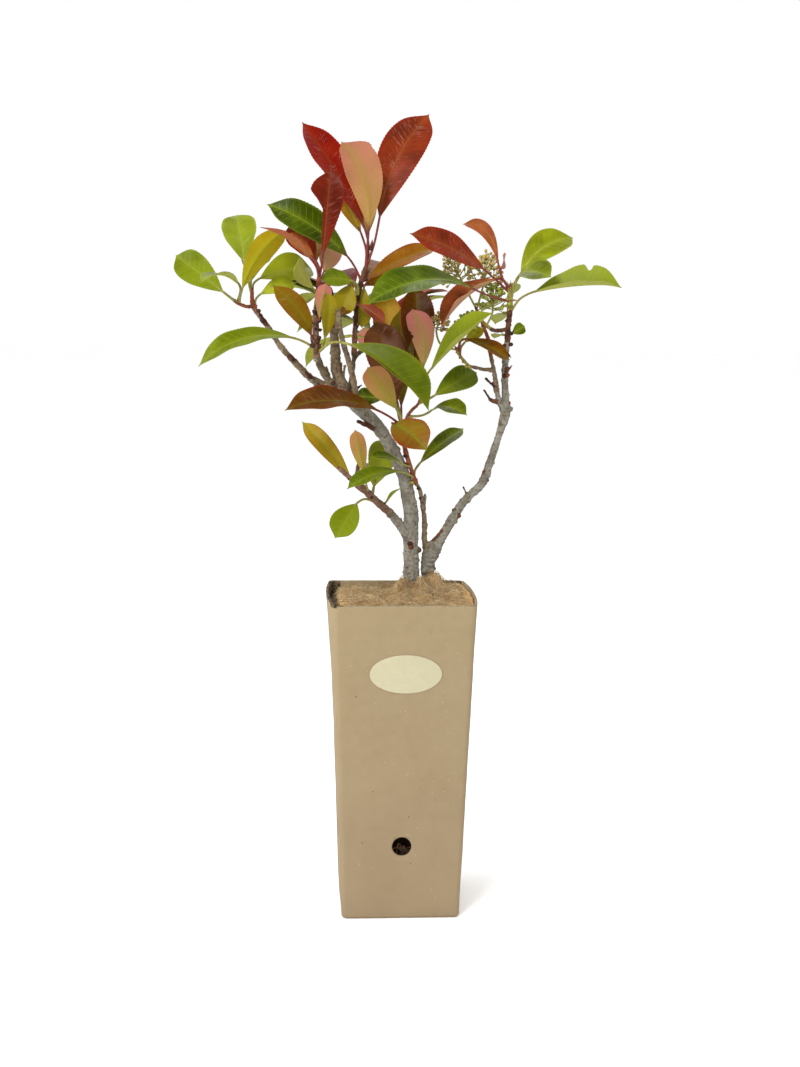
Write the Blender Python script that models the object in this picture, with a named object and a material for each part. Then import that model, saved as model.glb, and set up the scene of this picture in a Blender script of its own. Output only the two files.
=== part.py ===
# A young photinia with red new leaves, standing in its tall tapered cardboard pot.
# Lengths are in millimetres and angles in degrees; MM turns lengths into Blender's metres.
# A direction is a turn and a rise: turn 0 is right, 90 away from the viewer, 180 left, 270 towards
# the viewer, and the rise is counted up from level. The origin is under the middle of the pot.

import math
import random

import bpy
from mathutils import Vector

MM = 0.001
GAP = 0.3
GOLDEN_ANGLE = 137.5
SEED = 7

# Pot
POT_HEIGHT = 300.0
POT_TOP_HALF = 65.5
POT_FOOT_HALF = 55.0
POT_WALL = 2.6
POT_FLOOR = 3.0
POT_CORNER = 5.0
POT_FOOT_ROUNDING = 3.0
POT_SIDE_BULGE = 4.5
VENT_DIAMETER = 18.0
VENT_HEIGHT = 71.0
VENT_SIDES = 20

# Blank label on the front wall
LABEL_WIDTH = 66.0
LABEL_HEIGHT = 36.0
LABEL_THICKNESS = 0.6
LABEL_CENTRE_X = 1.5
LABEL_CENTRE_HEIGHT = 236.0
LABEL_SIDES = 40

# Root ball: soil wrapped in coir, mounded up to the level pad that the stems rise from
SOIL_CLEARANCE = 0.5
SOIL_EDGE_HEIGHT = 295.0
SOIL_SHOULDER_HEIGHT = 299.0
SOIL_TOP = 306.0
SOIL_PAD_CENTRE = (18.0, 6.0)
SOIL_PAD_HALF = 21.0

# Leaves
LEAF_STATIONS = (0.1, 0.3, 0.55, 0.78, 0.93)
LEAF_THICKNESS = 0.014
LEAF_LEAST_THICKNESS = 0.9
STALK_RADIUS = 1.25
STALK_INTO_BLADE = 0.13
WIDEST_AT = 0.62
TAPER = 1.65

# How far a leaf placed by rule stays from limbs and from other tufts' leaves
LIMB_CLEARANCE = 3.0
LEAF_CLEARANCE = 8.0

# Flower buds, larger than life
BUD_RADIUS = 2.2
BUD_STALK_RADIUS = 0.7

# The ways in which a leaf's upper side can look
FRONT = (0.0, -1.0, 0.15)
FRONT_RIGHT = (0.6, -0.8, 0.2)
FRONT_LEFT = (-0.4, -0.9, 0.3)
BACK = (0.0, 1.0, 0.2)
UP = (0.0, 0.0, 1.0)
UP_FRONT = (0.0, -0.5, 0.85)
HALF_FRONT = (0.0, -0.85, 0.5)
UP_LEFT = (-0.6, -0.5, 0.6)
RIGHT = (1.0, 0.1, 0.1)


# Limbs: points of the centre line, the radius at each, the number of sides, and the limbs that each
# one is cut clear of where it starts inside them
LIMBS = {
    "trunk": (
        ((11, 4, SOIL_TOP + GAP), (10, 3, 322), (9, 1, 354), (9, -1, 374), (6, -3, 391), (2, -4, 409),
         (-5, -6, 426), (-14, -8, 443), (-27, -9, 461), (-40, -10, 473), (-49, -11, 482), (-54, -12, 489)),
        (8.8, 7.4, 7.2, 7.0, 6.6, 6.2, 5.9, 5.9, 6.0, 6.2, 6.6, 6.2),
        10,
        (),
    ),
    "side_trunk": (
        ((27, 10, SOIL_TOP + GAP), (26, 10, 322), (28, 10, 336), (29, 10, 343)),
        (6.4, 6.2, 6.9, 5.0),
        10,
        (),
    ),
    "upright_bough": (
        ((-55, -12, 491), (-58, -11, 497), (-62, -9, 509), (-63, -7, 527), (-64, -5, 541), (-64, -4, 550)),
        (5.6, 5.4, 5.0, 4.4, 3.8, 3.2),
        8,
        ("trunk",),
    ),
    "far_left_bough": (
        ((-51, -11, 485), (-62, -12, 490), (-75, -8, 495), (-87, -4, 502), (-100, 0, 515), (-113, 4, 529),
         (-122, 7, 543), (-131, 9, 555), (-134, 10, 559)),
        (3.9, 3.8, 3.6, 3.2, 2.9, 2.6, 2.4, 2.2, 2.2),
        8,
        ("trunk", "upright_bough"),
    ),
    "left_bough": (
        ((-64, -12, 491), (-68, -14, 498), (-75, -16, 509), (-80, -17, 521)),
        (3.3, 3.4, 3.3, 3.1),
        8,
        ("far_left_bough", "upright_bough", "trunk"),
    ),
    "leader": (
        ((-51, -10, 485), (-49, -4, 494), (-47, 2, 506), (-45, 6, 520), (-44, 8, 534), (-44, 9, 549)),
        (2.6, 2.4, 2.2, 2.1, 2.0, 1.9),
        6,
        ("trunk", "upright_bough"),
    ),
    "grey_stem": (
        ((-44, -11, 476), (-44, -17, 484), (-46, -22, 496), (-50, -26, 513), (-55, -29, 529), (-59, -31, 545),
         (-61, -32, 561)),
        (2.9, 2.8, 2.7, 2.6, 2.5, 2.3, 1.9),
        6,
        ("trunk",),
    ),
    "left_low_bough": (
        ((8, 0, 353), (1, -3, 361), (-8, -8, 373), (-15, -12, 380)),
        (4.6, 4.4, 3.9, 3.6),
        8,
        ("trunk",),
    ),
    "centre_shoot": (
        ((28, 10, 336), (23, 9, 346), (22, 4, 366), (20, 0, 381), (17, -3, 396), (12, -6, 406)),
        (2.9, 2.7, 2.5, 2.3, 1.9, 2.1),
        6,
        ("side_trunk",),
    ),
    "right_bough": (
        ((29, 10, 332), (34, 12, 341), (41, 14, 354), (50, 17, 368), (57, 20, 379), (66, 22, 389),
         (76, 24, 398), (81, 26, 407), (85, 28, 419), (89, 29, 431), (93, 30, 443), (97, 30, 456)),
        (5.2, 5.1, 4.8, 4.4, 4.2, 3.9, 4.0, 4.1, 3.7, 3.5, 3.3, 3.6),
        8,
        ("side_trunk", "centre_shoot"),
    ),
    "upper_right_bough": (
        ((97, 30, 456.3), (100, 30, 469), (99, 29, 483), (98, 28, 498), (98, 26, 512), (98, 24, 524),
         (99, 21, 537)),
        (3.6, 4.3, 3.4, 3.2, 3.2, 2.9, 2.7),
        8,
        ("right_bough",),
    ),
    "right_side_branch": (
        ((99, 29, 466), (94, 27, 476), (90, 23, 488), (88, 20, 500), (85, 16, 512), (82, 12, 524)),
        (2.7, 2.6, 2.4, 2.2, 2.0, 1.9),
        6,
        ("upper_right_bough",),
    ),
    "right_twig": (
        ((86, 17, 508), (76, 12, 509), (67, 8, 511), (62, 7, 512)),
        (1.7, 1.6, 1.6, 1.5),
        6,
        ("right_side_branch",),
    ),
    "back_bough": (
        ((-44.5, 6.5, 520), (-41, 20, 522), (-33, 40, 526), (-25, 57, 533)),
        (1.9, 2.0, 2.0, 1.8),
        6,
        ("leader",),
    ),
}


# Leaves: each row is the place along its twig, counted in the twig's points, then the stalk and the
# blade as (turn, rise, length), the way its upper side looks, and its shape: the width, the bow of
# the midrib towards the upper side and sideways as shares of the length, and the angle of its fold
CROWN_LEAVES = (
    (5.0, (108, 81, 39), (160, 57, 111), FRONT_RIGHT, (38, 0.05, 0, 14)),
    (5.0, (299, 83, 36), (230, 61, 86), BACK, (38, 0.05, 0.1, 14)),
    (5.0, (26, 73, 47), (29, 61, 110), FRONT, (40, 0.05, 0.08, 14)),
    (5.0, (112, 71, 33), (140, 57, 51), FRONT, (17, 0.08, 0, 14)),
    (5.0, (81, 65, 33), (93, 57, 79), BACK, (24, 0.05, 0, 14)),
    (3.0, (198, 59, 25), (191, 32, 88), HALF_FRONT, (32, 0.13, 0, 14)),
    (3.0, (351, 16, 7), (15, 24, 72), UP_FRONT, (30, 0.06, 0, 14)),
    (2.5, (72, 4, 11), (33, 11, 46), HALF_FRONT, (22, 0.1, 0, 14)),
    (2.5, (57, 0, 7), (231, -86, 38), FRONT, (17, 0.05, 0, 14)),
    (1.6, (238, 56, 17), (199, 4, 31), HALF_FRONT, (19, 0.08, 0, 14)),
    (1.6, (224, 54, 15), (212, -66, 32), FRONT, (22, 0.08, 0, 14)),
    (1.0, (237, 8, 7), (229, -34, 19), HALF_FRONT, (9, 0.08, 0, 14)),
    (1.1, (281, -12, 8), (341, -32, 30), HALF_FRONT, (14, 0.1, 0, 30)),
    (1.6, (109, 26, 14), (107, 12, 67), UP, (30, 0.12, 0, 14)),
    (2.8, (66, 0, 15), (65, 12, 75), UP, (30, 0.12, 0, 14)),
)
LEFT_LEAVES = (
    (1.1, (219, 17, 5), (229, 41, 69), FRONT, (20, 0.05, -0.06, 14)),
    (0.4, (209, 25, 25), (198, -14, 92), UP_FRONT, (28, 0.15, 0, 14)),
    (0.15, (318, 15, 39), (344, -38, 94), UP_FRONT, (46, 0.1, 0, 40)),
    (2.2, (297, -21, 7), (286, 60, 38), BACK, (15, 0.05, 0, 14)),
    (0.2, (313, 50, 16), (294, 79, 44), FRONT_RIGHT, (18, 0.05, 0, 14)),
    (3.6, (223, 39, 6), (247, 35, 45), UP_LEFT, (18, 0.1, 0, 14)),
    (5.0, (283, 56, 24), (293, 78, 77), FRONT, (33, 0.08, 0, 14)),
    (5.0, (243, 48, 19), (221, 25, 68), UP, (26, 0.08, 0, 14)),
    (5.0, (132, 67, 18), (202, 40, 35), HALF_FRONT, (14, 0.05, 0, 14)),
    (5.0, (101, 47, 20), (140, 48, 46), FRONT, (26, 0.05, 0, 14)),
    (5.0, (79, 12, 26), (64, 47, 43), BACK, (22, 0.05, 0, 14)),
    (5.0, (97, 31, 25), (99, 17, 74), UP, (28, 0.12, 0, 14)),
)
FAR_LEFT_LEAVES = (
    (3.0, (58, 45, 17), (39, 10, 64), HALF_FRONT, (34, 0.08, 0, 14)),
    (0.4, (23, 73, 15), (21, 17, 36), HALF_FRONT, (18, 0.1, 0, 14)),
    (2.5, (139, 73, 31), (102, 49, 60), FRONT, (33, 0.08, 0, 14)),
    (3.0, (95, 35, 17), (83, 15, 74), UP, (30, 0.12, 0, 14)),
)
FAR_LEFT_SIDE_LEAVES = (
    (2.0, (180, 37, 16), (145, 31, 64), FRONT, (30, 0.05, 0, 14)),
    (2.0, (285, 77, 18), (241, 2, 64), UP, (20, 0.11, 0, 14)),
    (1.8, (306, 70, 14), (325, 48, 72), BACK, (30, 0.05, -0.08, 14)),
)
CENTRE_LEAVES = (
    (0.3, (65, 34, 19), (44, 25, 69), UP_FRONT, (19, 0.05, 0, 14)),
    (0.2, (227, 20, 23), (219, -9, 64), UP_FRONT, (20, 0.09, 0, 14)),
    (1.0, (235, 16, 18), (215, 12, 35), UP_FRONT, (16, 0.08, 0, 14)),
    (5.0, (225, 27, 35), (200, 3, 91), UP_FRONT, (36, 0.11, 0, 14)),
    (5.0, (214, 67, 18), (213, 50, 52), BACK, (25, 0.05, 0, 14)),
    (5.0, (139, 50, 33), (156, 2, 29), FRONT, (17, 0.05, 0, 14)),
    (5.0, (200, 20, 11), (308, -23, 51), HALF_FRONT, (34, 0.1, 0, 14)),
    (5.0, (109, 60, 25), (131, 69, 80), FRONT, (38, 0.05, 0, 14)),
    (5.0, (90, 42, 24), (90, 73, 95), FRONT, (25, 0.05, 0, 14)),
    (5.0, (99, 39, 34), (106, 70, 111), FRONT, (30, 0.05, 0, 14)),
)
CENTRE_SIDE_LEAVES = (
    (4.0, (260, 67, 21), (247, 58, 66), BACK, (28, 0.05, 0.08, 14)),
    (4.0, (342, 70, 19), (323, 40, 84), UP_LEFT, (34, 0.05, 0, 14)),
    (3.6, (95, 68, 19), (104, 77, 85), FRONT, (33, 0.05, 0, 14)),
    (3.0, (21, 23, 18), (39, 20, 59), HALF_FRONT, (26, 0.05, 0, 14)),
    (1.0, (343, 13, 21), (313, 0, 46), UP_FRONT, (24, 0.16, 0, 14)),
)
LEFT_LOW_LEAVES = (
    (0.6, (214, 8, 25), (235, -20, 47), HALF_FRONT, (26, 0.05, 0, 14)),
    (1.3, (160, 33, 21), (153, 46, 75), HALF_FRONT, (22, 0.08, 0, 14)),
    (1.5, (245, 60, 22), (243, 64, 47), BACK, (15, 0.05, 0, 14)),
    (1.1, (83, 36, 15), (67, 50, 54), FRONT, (28, 0.05, 0, 14)),
    (0.2, (75, 20, 10), (58, 19, 33), UP_LEFT, (15, 0.05, 0, 14)),
    (1.0, (87, 18, 24), (80, 6, 76), UP, (28, 0.12, 0, 14)),
)
RIGHT_LEAVES = (
    (3.6, (201, 38, 35), (210, 21, 88), HALF_FRONT, (33, 0.07, 0, 14)),
    (3.8, (189, 64, 28), (126, 36, 63), UP_LEFT, (18, 0.2, 0, 14)),
    (3.8, (137, 60, 23), (80, 20, 39), RIGHT, (12, 0.05, 0, 14)),
    (3.5, (196, 46, 20), (198, -39, 71), UP_FRONT, (28, 0.1, 0, 30)),
    (3.0, (214, 14, 46), (205, -7, 111), UP_FRONT, (42, 0.15, 0, 14)),
    (3.4, (35, 59, 24), (26, 31, 69), FRONT_LEFT, (32, 0.05, 0.1, 14)),
    (3.4, (6, 66, 22), (291, -3, 52), UP_FRONT, (34, 0.2, 0, 14)),
    (2.0, (345, 42, 30), (344, 5, 81), UP_FRONT, (38, 0.04, 0, 45)),
    (0.4, (31, -10, 6), (68, -5, 30), HALF_FRONT, (16, 0.05, 0, 14)),
    (0.3, (117, 3, 10), (99, 3, 30), HALF_FRONT, (12, 0.05, 0, 14)),
    (2.0, (83, 6, 14), (82, 4, 74), RIGHT, (28, 0.1, 0, 14)),
    (3.4, (55, 49, 32), (69, 9, 72), UP, (26, 0.12, 0, 14)),
    (3.0, (113, 2, 18), (93, 7, 67), UP, (26, 0.12, 0, 14)),
)
INNER_LEAVES = (
    (1.5, (23, 65, 12), (18, 36, 23), HALF_FRONT, (12, 0.05, 0, 14)),
    (1.5, (314, 64, 16), (351, -25, 45), UP_FRONT, (20, 0.08, 0, 14)),
)

# Leaves that follow a rule: how many, the arc they are turned through, their rises, lengths and widths
BACK_FAN = (11, (15, 165), (-25, 40), (58, 84), (24, 32))
BACK_LEFT_FAN = (9, (60, 150), (-25, 30), (48, 70), (20, 28))

# Flower heads: points of the stalk, the reach of the head round its end, and the number of buds
BLOOM_HEADS = (
    (((69, 18, 564), (56, 14, 587), (48, 12, 602)), 16, 14),
    (((69, 18, 564), (75, 26, 583), (79, 30, 602)), 12, 13),
    (((77, 20, 546), (84, 22, 560), (85, 22, 573)), 12, 14),
)
INNER_HEADS = (
    (((50, 4, 527), (56, 9, 542), (60, 12, 553)), 10, 10),
    (((50, 4, 527), (36, 8, 531), (31, 9, 543), (33, 9, 552)), 7, 8),
)

# Tufts: the limb whose tip each grows from, its twigs as (points, radii, leaf rows, leaf fan), where
# the first point of the first twig is that tip, and its flower heads
TUFTS = {
    "crown_tuft": (
        "leader",
        (
            (((-43, 10, 568), (-41, 10, 579), (-39, 10, 589), (-37, 9, 595), (-35, 8, 601)),
             (1.9, 2.0, 2.0, 2.3, 2.2, 2.4), CROWN_LEAVES, None),
        ),
        (),
    ),
    "left_tuft": (
        "left_bough",
        (
            (((-81, -17, 536), (-81, -16, 554), (-80, -14, 570), (-79, -12, 583), (-78, -11, 592)),
             (3.1, 3.0, 2.9, 2.4, 1.9, 2.3), LEFT_LEAVES, None),
        ),
        (),
    ),
    "far_left_tuft": (
        "far_left_bough",
        (
            (((-138, 10, 565), (-139, 10, 572), (-139, 10, 578)), (2.2, 2.2, 1.8, 1.8),
             FAR_LEFT_LEAVES, None),
            (((-138, 10, 565), (-145, 5, 565), (-152, 2, 568)), (1.6, 1.5, 1.7),
             FAR_LEFT_SIDE_LEAVES, None),
        ),
        (),
    ),
    "centre_tuft": (
        "centre_shoot",
        (
            (((7, -8, 420), (4, -9, 429), (2, -10, 436), (0, -11, 447), (-1, -12, 457)),
             (2.1, 2.0, 2.2, 2.2, 2.0, 2.3), CENTRE_LEAVES, None),
            (((0, -12, 454), (4, -6, 466), (9, 0, 472), (15, 8, 477), (20, 10, 491)),
             (1.5, 1.5, 1.4, 1.3, 1.4), CENTRE_SIDE_LEAVES, None),
        ),
        (),
    ),
    "left_low_tuft": (
        "left_low_bough",
        (
            (((-27, -18, 391), (-37, -22, 401), (-48, -26, 410)), (3.6, 3.3, 3.1, 2.6),
             LEFT_LOW_LEAVES, None),
            (((-46, -25, 408), (-58, -28, 419)), (2.3, 1.9), (), None),
            (((-46, -25, 408), (-43, -24, 414), (-42, -24, 422)), (2.0, 1.9, 1.7), (), None),
        ),
        (),
    ),
    "right_tuft": (
        "upper_right_bough",
        (
            (((99, 20, 547), (100, 18, 561), (100, 17, 572), (100, 16, 584)),
             (2.7, 2.5, 2.4, 2.7, 1.8), RIGHT_LEAVES, None),
            (((99, 20, 546), (86, 12, 545), (78, 4, 549), (70, -4, 556)), (1.9, 1.8, 1.6, 1.1), (), None),
        ),
        (),
    ),
    "bloom_tuft": (
        "right_side_branch",
        (
            (((80, 16, 537), (77, 20, 546), (73, 20, 556), (69, 18, 564)),
             (1.9, 1.7, 1.6, 1.5, 1.4), (), None),
        ),
        BLOOM_HEADS,
    ),
    "inner_tuft": (
        "right_twig",
        (
            (((55, 6, 519), (50, 4, 527)), (1.5, 1.4, 1.4), INNER_LEAVES, None),
        ),
        INNER_HEADS,
    ),
    "back_tuft": (
        "back_bough",
        (
            (((-19, 70, 541),), (1.8, 1.6), (), BACK_FAN),
        ),
        (),
    ),
    "back_left_tuft": (
        "upright_bough",
        (
            (((-64, 10, 561), (-65, 30, 572), (-66, 50, 581)), (3.2, 2.4, 2.0, 1.6), (), BACK_LEFT_FAN),
        ),
        (),
    ),
}

# Base colour and roughness of each kind of piece
CARDBOARD = ("cardboard", (0.44, 0.34, 0.2), 0.9)
PAPER = ("label_paper", (0.68, 0.63, 0.44), 0.8)
COIR = ("coir", (0.36, 0.2, 0.08), 1.0)
BARK = ("bark", (0.3, 0.28, 0.23), 0.9)
RED_LEAF = ("red_leaf", (0.32, 0.04, 0.02), 0.4)
GREEN_LEAF = ("green_leaf", (0.16, 0.25, 0.02), 0.4)
TUFT_MATERIALS = {"crown_tuft": RED_LEAF, "left_tuft": RED_LEAF}


# Vectors and curves

def direction(turn, rise):
    """The unit vector that turns this far round and rises this far above level."""
    turn, rise = math.radians(turn), math.radians(rise)
    return Vector((math.cos(turn) * math.cos(rise), math.sin(turn) * math.cos(rise), math.sin(rise)))


def along(points, place):
    """The point at this place along a line, counted in its points."""
    index = min(int(place), len(points) - 2)
    return points[index].lerp(points[index + 1], place - index)


def tangents(points):
    """The direction of a line at each of its points."""
    last = len(points) - 1
    return [(points[min(i + 1, last)] - points[max(i - 1, 0)]).normalized() for i in range(last + 1)]


# Meshes

def new_object(name, vertices, faces, material=None, smooth=False):
    """A mesh object from points in millimetres."""
    mesh = bpy.data.meshes.new(name)
    mesh.from_pydata([Vector(v) * MM for v in vertices], [], faces)
    mesh.update()
    if smooth:
        mesh.shade_smooth()
        mesh.set_sharp_from_angle(angle=math.radians(40))
    if material:
        mesh.materials.append(material_of(*material))
    obj = bpy.data.objects.new(name, mesh)
    bpy.context.scene.collection.objects.link(obj)
    return obj


def material_of(name, colour, roughness):
    """A plain Principled material, made once for each name."""
    if name in bpy.data.materials:
        return bpy.data.materials[name]
    material = bpy.data.materials.new(name)
    material.use_nodes = True
    shader = material.node_tree.nodes["Principled BSDF"]
    shader.inputs["Base Color"].default_value = (*colour, 1.0)
    shader.inputs["Roughness"].default_value = roughness
    material.diffuse_color = (*colour, 1.0)
    return material


def loft(rings):
    """Vertices and faces of a closed body through rings with equal numbers of points."""
    count = len(rings[0])
    vertices = [point for ring in rings for point in ring]
    faces = [tuple(reversed(range(count)))]
    for level in range(len(rings) - 1):
        low, high = level * count, (level + 1) * count
        for i in range(count):
            j = (i + 1) % count
            faces.append((low + i, low + j, high + j, high + i))
    top = (len(rings) - 1) * count
    faces.append(tuple(range(top, top + count)))
    return vertices, faces


def tube(points, radii, sides, first_tangent=None, level_start=False):
    """Vertices and faces of a round limb along points; level_start cuts its foot flat."""
    lines = tangents(points)
    if first_tangent is not None:
        lines[0] = first_tangent
    if level_start:
        lines[0] = Vector((0, 0, 1))
    across = lines[0].orthogonal().normalized()
    rings = []
    for point, line, radius in zip(points, lines, radii):
        across = (across - line * across.dot(line)).normalized()
        other = line.cross(across)
        turns = [2 * math.pi * i / sides for i in range(sides)]
        rings.append([point + radius * (math.cos(t) * across + math.sin(t) * other) for t in turns])
    return loft(rings)


def apply_boolean(obj, operation, other, solver="EXACT"):
    """Joins or cuts an object by another object or by a collection, for good."""
    modifier = obj.modifiers.new(operation.lower(), "BOOLEAN")
    modifier.operation = operation
    modifier.solver = solver
    if isinstance(other, bpy.types.Collection):
        modifier.operand_type = "COLLECTION"
        modifier.collection = other
    else:
        modifier.object = other
    graph = bpy.context.evaluated_depsgraph_get()
    graph.update()
    result = bpy.data.meshes.new_from_object(obj.evaluated_get(graph))
    obj.modifiers.clear()
    old = obj.data
    obj.data = result
    bpy.data.meshes.remove(old)
    result.name = obj.name


def remove_object(obj):
    mesh = obj.data
    bpy.data.objects.remove(obj)
    bpy.data.meshes.remove(mesh)


# Pot, label and root ball

def square_ring(half, corner, height, bulge=0.0):
    """A level square ring with round corners, its left and right sides bowed out by the bulge."""
    corner_steps, side_steps = 3, 4
    points = []
    for quarter in range(4):
        start = math.pi / 2 * quarter
        centre = Vector((half - corner, half - corner))
        for step in range(corner_steps + 1):
            angle = math.pi / 2 * step / corner_steps
            spot = centre + corner * Vector((math.cos(angle), math.sin(angle)))
            points.append(spin(spot, start))
        for step in range(1, side_steps):
            run = (half - corner) * (1 - 2 * step / side_steps)
            points.append(spin(Vector((run, half)), start))
    return [(x + bow(x, y, half, bulge), y, height) for x, y in points]


def spin(point, angle):
    """A flat point turned round the origin."""
    cos, sin = math.cos(angle), math.sin(angle)
    return Vector((point.x * cos - point.y * sin, point.x * sin + point.y * cos))


def bow(x, y, half, bulge):
    """How far a side wall leans out at this point of the ring."""
    if abs(x) < 0.9 * half:
        return 0.0
    return math.copysign(bulge * (1 - (y / half) ** 2), x)


def pot_half(height):
    """Half the pot's outer width at a height."""
    return POT_FOOT_HALF + (POT_TOP_HALF - POT_FOOT_HALF) * height / POT_HEIGHT


def pot_bulge(height):
    return POT_SIDE_BULGE * (height / POT_HEIGHT) ** 3


def pot_ring(height, inset=0.0):
    corner = max(POT_CORNER - inset / 2, 1.5)
    return square_ring(pot_half(height) - inset, corner, height, pot_bulge(height))


def build_pot():
    """The open tapered box with its round-edged foot, and a vent hole through each wall."""
    rounding = POT_FOOT_ROUNDING
    outside = [pot_ring(rounding * (1 - math.cos(a)), rounding * (1 - math.sin(a)))
               for a in (0.0, math.pi / 6, math.pi / 3, math.pi / 2)]
    levels = [100.0, 200.0, 260.0, POT_HEIGHT]
    outside += [pot_ring(height) for height in levels]
    inside = [pot_ring(height, POT_WALL) for height in reversed([POT_FLOOR, *levels])]
    vertices, faces = loft(outside + inside)
    pot = new_object("pot", vertices, faces, CARDBOARD)
    for quarter in range(4):
        cutter = vent_cutter(quarter * math.pi / 2)
        apply_boolean(pot, "DIFFERENCE", cutter)
        remove_object(cutter)
    return pot


def vent_cutter(angle):
    """A level round bar that crosses the wall on one side of the pot."""
    rings = []
    for reach in (POT_FOOT_HALF - 10, POT_FOOT_HALF + 12):
        ring = []
        for i in range(VENT_SIDES):
            around = 2 * math.pi * i / VENT_SIDES
            flat = spin(Vector((VENT_DIAMETER / 2 * math.cos(around), -reach)), angle)
            ring.append((flat.x, flat.y, VENT_HEIGHT + VENT_DIAMETER / 2 * math.sin(around)))
        rings.append(ring)
    vertices, faces = loft(rings)
    return new_object("vent_cutter", vertices, faces)


def build_label():
    """A thin oval, lying 0.3 mm off the leaning front wall."""
    lean = math.atan2(POT_TOP_HALF - POT_FOOT_HALF, POT_HEIGHT)
    up = Vector((0, -math.sin(lean), math.cos(lean)))
    out = Vector((0, -math.cos(lean), -math.sin(lean)))
    centre = Vector((LABEL_CENTRE_X, -pot_half(LABEL_CENTRE_HEIGHT), LABEL_CENTRE_HEIGHT))
    rings = []
    for depth in (GAP, GAP + LABEL_THICKNESS):
        ring = []
        for i in range(LABEL_SIDES):
            around = 2 * math.pi * i / LABEL_SIDES
            across = Vector((LABEL_WIDTH / 2 * math.cos(around), 0, 0))
            ring.append(centre + across + up * (LABEL_HEIGHT / 2 * math.sin(around)) + out * depth)
        rings.append(ring)
    vertices, faces = loft(rings)
    return new_object("label", vertices, faces, PAPER)


def build_root_ball():
    """Soil and coir filling the pot, mounded up to the stems' feet."""
    inset = POT_WALL + SOIL_CLEARANCE
    levels = (POT_FLOOR + GAP, 100.0, 200.0, 260.0, SOIL_EDGE_HEIGHT)
    rings = [pot_ring(height, inset) for height in levels]
    shoulder_half = pot_half(SOIL_EDGE_HEIGHT) - inset - 7
    rings.append(square_ring(shoulder_half, POT_CORNER + 8, SOIL_SHOULDER_HEIGHT, POT_SIDE_BULGE))
    pad = square_ring(SOIL_PAD_HALF, SOIL_PAD_HALF - 4, SOIL_TOP)
    rings.append([(x + SOIL_PAD_CENTRE[0], y + SOIL_PAD_CENTRE[1], z) for x, y, z in pad])
    vertices, faces = loft(rings)
    return new_object("root_ball", vertices, faces, COIR)


# Limbs

def limb_points(name):
    return [Vector(point) for point in LIMBS[name][0]]


def limb_tube(name, grow=0.0):
    """Vertices and faces of a limb, made thicker all round by grow."""
    points = limb_points(name)
    _, radii, sides, parents = LIMBS[name]
    rooted = not parents
    if grow:
        ends = tangents(points)
        points[-1] = points[-1] + ends[-1] * grow
        if rooted:
            points[0] = points[0] - Vector((0, 0, grow))
    # Grown flats sit as far out as the round limb's own corners would
    share = 1 / math.cos(math.pi / sides) if grow else 1.0
    return tube(points, [(radius + grow) * share for radius in radii], sides, level_start=rooted)


def build_limb(name):
    """One tapering limb, cut 0.3 mm clear of the limbs that it grows from."""
    vertices, faces = limb_tube(name)
    limb = new_object(name, vertices, faces, BARK, smooth=True)
    for parent in LIMBS[name][3]:
        vertices, faces = limb_tube(parent, GAP)
        clearance = new_object("clearance", vertices, faces)
        apply_boolean(limb, "DIFFERENCE", clearance)
        remove_object(clearance)
    return limb


# Leaves

def outline(t):
    """Half-width of a blade at t along it, as a share of its greatest half-width."""
    rise, fall = WIDEST_AT * TAPER, (1 - WIDEST_AT) * TAPER
    peak = WIDEST_AT ** rise * (1 - WIDEST_AT) ** fall
    return t ** rise * (1 - t) ** fall / peak


def leaf_on(twig, row):
    """A leaf's root on its twig, and its blade's foot, chord, upper-side normal, crossways and bow."""
    place, stalk, blade, face, shape = row
    root = along(twig, place)
    foot = root + direction(*stalk[:2]) * stalk[2]
    chord = direction(*blade[:2]) * blade[2]
    line = chord.normalized()
    normal = Vector(face)
    normal = (normal - line * normal.dot(line)).normalized()
    across = normal.cross(line)
    bow = (normal * shape[1] + across * shape[2]) * chord.length
    return root, foot, chord, normal, across, bow


def spine(foot, chord, bow, t):
    """A point of the blade's midrib."""
    return foot + chord * t + bow * (4 * t * (1 - t))


def blade(leaf, shape):
    """A leaf blade: two half-blades folded up along the midrib, thickest there."""
    _, foot, chord, normal, across, bow = leaf
    width, _, _, fold = shape
    thickness = max(chord.length * LEAF_THICKNESS, LEAF_LEAST_THICKNESS)
    fold = math.radians(fold)
    vertices = [foot]
    for t in LEAF_STATIONS:
        middle = spine(foot, chord, bow, t)
        half = width / 2 * outline(t)
        lift = normal * (half * math.sin(fold))
        reach = across * (half * math.cos(fold))
        vertices += [middle - reach + lift, middle - normal * (thickness / 2),
                     middle + reach + lift, middle + normal * (thickness / 2)]
    vertices.append(foot + chord)
    return vertices, spindle_faces(len(LEAF_STATIONS), 4)


def spindle_faces(rings, sides):
    """Faces of a body with a point at each end and rings between, its first point first."""
    last = rings * sides + 1
    faces = []
    for i in range(sides):
        j = (i + 1) % sides
        faces.append((0, 1 + j, 1 + i))
        for ring in range(rings - 1):
            low, high = 1 + ring * sides, 1 + (ring + 1) * sides
            faces.append((low + i, low + j, high + j, high + i))
        top = 1 + (rings - 1) * sides
        faces.append((top + i, top + j, last))
    return faces


def stalk_tube(leaf):
    """The leaf stalk, which bends into the blade and ends inside it."""
    root, foot, chord, _, _, bow = leaf
    elbow = foot - (chord + bow * 4).normalized() * ((foot - root).length * 0.5)
    bend = root * 0.25 + elbow * 0.5 + foot * 0.25
    end = spine(foot, chord, bow, STALK_INTO_BLADE)
    return tube([root, bend, foot, end], [STALK_RADIUS] * 3 + [STALK_RADIUS * 0.7], 3)


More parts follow.
